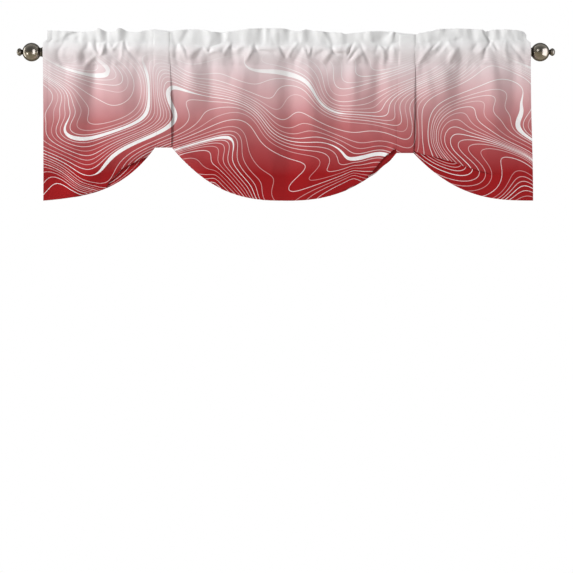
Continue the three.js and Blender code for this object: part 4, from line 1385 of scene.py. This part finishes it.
class VALANCE_OT_set_stage(bpy.types.Operator):
    """Sets the floor, the lights and the camera"""

    bl_idname = "valance.set_stage"
    bl_label = "Set the stage"

    def execute(self, context):
        stage = context.scene.valance_stage
        bm = bmesh.new()
        bmesh.ops.create_grid(bm, x_segments=4, y_segments=4, size=4.0,
                              matrix=Matrix.Translation((0, 0, FLOOR_HEIGHT)))
        mesh = bpy.data.meshes.new("floor")
        bm.to_mesh(mesh)
        bm.free()
        floor = bpy.data.objects.new("floor", mesh)
        context.scene.collection.objects.link(floor)
        material = bpy.data.materials.new("painted_floor")
        tree = new_tree(material)
        where = add_node(tree, "TexCoord").outputs["Object"]
        # Clouds about 330 mm across
        cloud = add_node(tree, "TexNoise", {"Vector": where, "Scale": 3.0})
        colour = add_node(tree, "Mix", {0: cloud, 6: (*stage.floor_colour, 1), 7: (*linear("#F0EFEC"), 1)},
                          data_type="RGBA")
        shader = add_node(tree, "BsdfPrincipled", {"Base Color": colour.outputs[2], "Roughness": 0.8})
        add_node(tree, "OutputMaterial", {0: shader})
        floor.data.materials.append(material)
        floor.visible_glossy = False

        for name, aim, bearing, rise, distance, width, height, power in LAMPS:
            bearing, rise = math.radians(bearing), math.radians(rise)
            level = math.cos(rise)
            away = Vector((math.sin(bearing) * level, -math.cos(bearing) * level, math.sin(rise)))
            light = bpy.data.lights.new(name, "AREA")
            light.shape = "RECTANGLE"
            light.size = width
            light.size_y = height
            light.energy = stage.key_power if name == "key" else power
            if name.endswith("daylight"):
                light.color = linear("#F5F5FF")
            lamp = bpy.data.objects.new(name, light)
            # The key and the fill light the cloth; the others only show in the metal
            lamp.visible_diffuse = name in ("key", "back_fill")
            lamp.visible_glossy = not lamp.visible_diffuse
            lamp.visible_camera = False
            lamp.location = Vector(aim) + away * distance
            lamp.rotation_euler = (-away).to_track_quat("-Z", "Y").to_euler()
            context.scene.collection.objects.link(lamp)

        world = bpy.data.worlds.new("white_room")
        context.scene.world = world
        tree = new_tree(world)
        # The picture's background is white. As light, what is in front is dimmer than what is behind.
        path = add_node(tree, "LightPath").outputs
        towards = add_node(tree, "TexCoord").outputs["Generated"]
        parts = add_node(tree, "SeparateXYZ", {0: towards}).outputs
        even = add_node(tree, "MapRange", {0: parts[1], 1: -1.0, 2: 1.0, 3: stage.room, 4: stage.behind})
        # Polished metal mirrors a lived-in room: bright at the sides, dark at the far end, brown below
        far = add_node(tree, "MapRange", {0: parts[1], 1: -1.0, 2: 1.0})
        up = add_node(tree, "MapRange", {0: parts[2], 1: -1.0, 2: 1.0})
        ramps = []
        for place, look in ((far, ROOM_ENDS), (far, GROUND_ENDS), (up, ROOM_LEVELS)):
            stops = [(at, linear(colour)) for at, colour in look]
            ramps.append(add_node(tree, "ValToRGB", {0: place}, stops))
        ends, ground, levels = ramps
        around = add_node(tree, "Mix", {0: 1.0, 6: ends, 7: levels}, data_type="RGBA", blend_type="MULTIPLY")
        below = add_node(tree, "MapRange", {0: parts[2], 1: 0.02, 2: -0.12})
        mirrored = add_node(tree, "Mix", {0: below, 6: around.outputs[2], 7: ground}, data_type="RGBA")
        lit = add_node(tree, "Mix", {0: path["Is Glossy Ray"], 6: even, 7: mirrored.outputs[2]},
                       data_type="RGBA")
        shown = add_node(tree, "Mix", {0: path["Is Camera Ray"], 6: lit.outputs[2], 7: (1, 1, 1, 1)},
                         data_type="RGBA")
        light = add_node(tree, "Background", {"Color": shown.outputs[2]})
        add_node(tree, "OutputWorld", {0: light})

        lens = bpy.data.cameras.new("camera")
        lens.lens = stage.lens
        lens.sensor_width = 36
        camera = bpy.data.objects.new("camera", lens)
        away = stage.view_width * stage.lens / lens.sensor_width
        camera.location = (VIEW_MIDDLE[0] * MM, -away, VIEW_MIDDLE[1] * MM)
        camera.rotation_euler = (math.pi / 2, 0, 0)
        context.scene.collection.objects.link(camera)
        context.scene.camera = camera
        context.scene.view_settings.view_transform = "Standard"
        return {"FINISHED"}


class VALANCE_PT_panel(bpy.types.Panel):
    """Lists the valance's settings and steps"""

    bl_idname = "VALANCE_PT_panel"
    bl_label = "Tie-up Valance"
    bl_space_type = "VIEW_3D"
    bl_region_type = "UI"
    bl_category = "Valance"

    def draw(self, context):
        for name, group in SETTINGS.items():
            box = self.layout.box()
            for key in group.__annotations__:
                box.prop(getattr(context.scene, name), key)
        for operator in OPERATORS:
            self.layout.operator(operator.bl_idname)


SETTINGS = {
    "valance_cloth": ClothSettings,
    "valance_straps": StrapSettings,
    "valance_stitches": StitchSettings,
    "valance_metal": MetalSettings,
    "valance_stage": StageSettings,
}
OPERATORS = (
    VALANCE_OT_set_stage,
    VALANCE_OT_fit_rod,
    VALANCE_OT_turn_finials,
    VALANCE_OT_hang_cloth,
    VALANCE_OT_loop_straps,
    VALANCE_OT_sew_stitches,
)


def register():
    for cls in (*SETTINGS.values(), *OPERATORS, VALANCE_PT_panel):
        bpy.utils.register_class(cls)
    for name, group in SETTINGS.items():
        setattr(bpy.types.Scene, name, PointerProperty(type=group))


def unregister():
    for name in SETTINGS:
        delattr(bpy.types.Scene, name)
    for cls in reversed((*SETTINGS.values(), *OPERATORS, VALANCE_PT_panel)):
        bpy.utils.unregister_class(cls)


def main():
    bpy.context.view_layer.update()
    register()
    for operator in OPERATORS:
        group, action = operator.bl_idname.split(".")
        getattr(getattr(bpy.ops, group), action)()


if __name__ == "__main__":
    main()
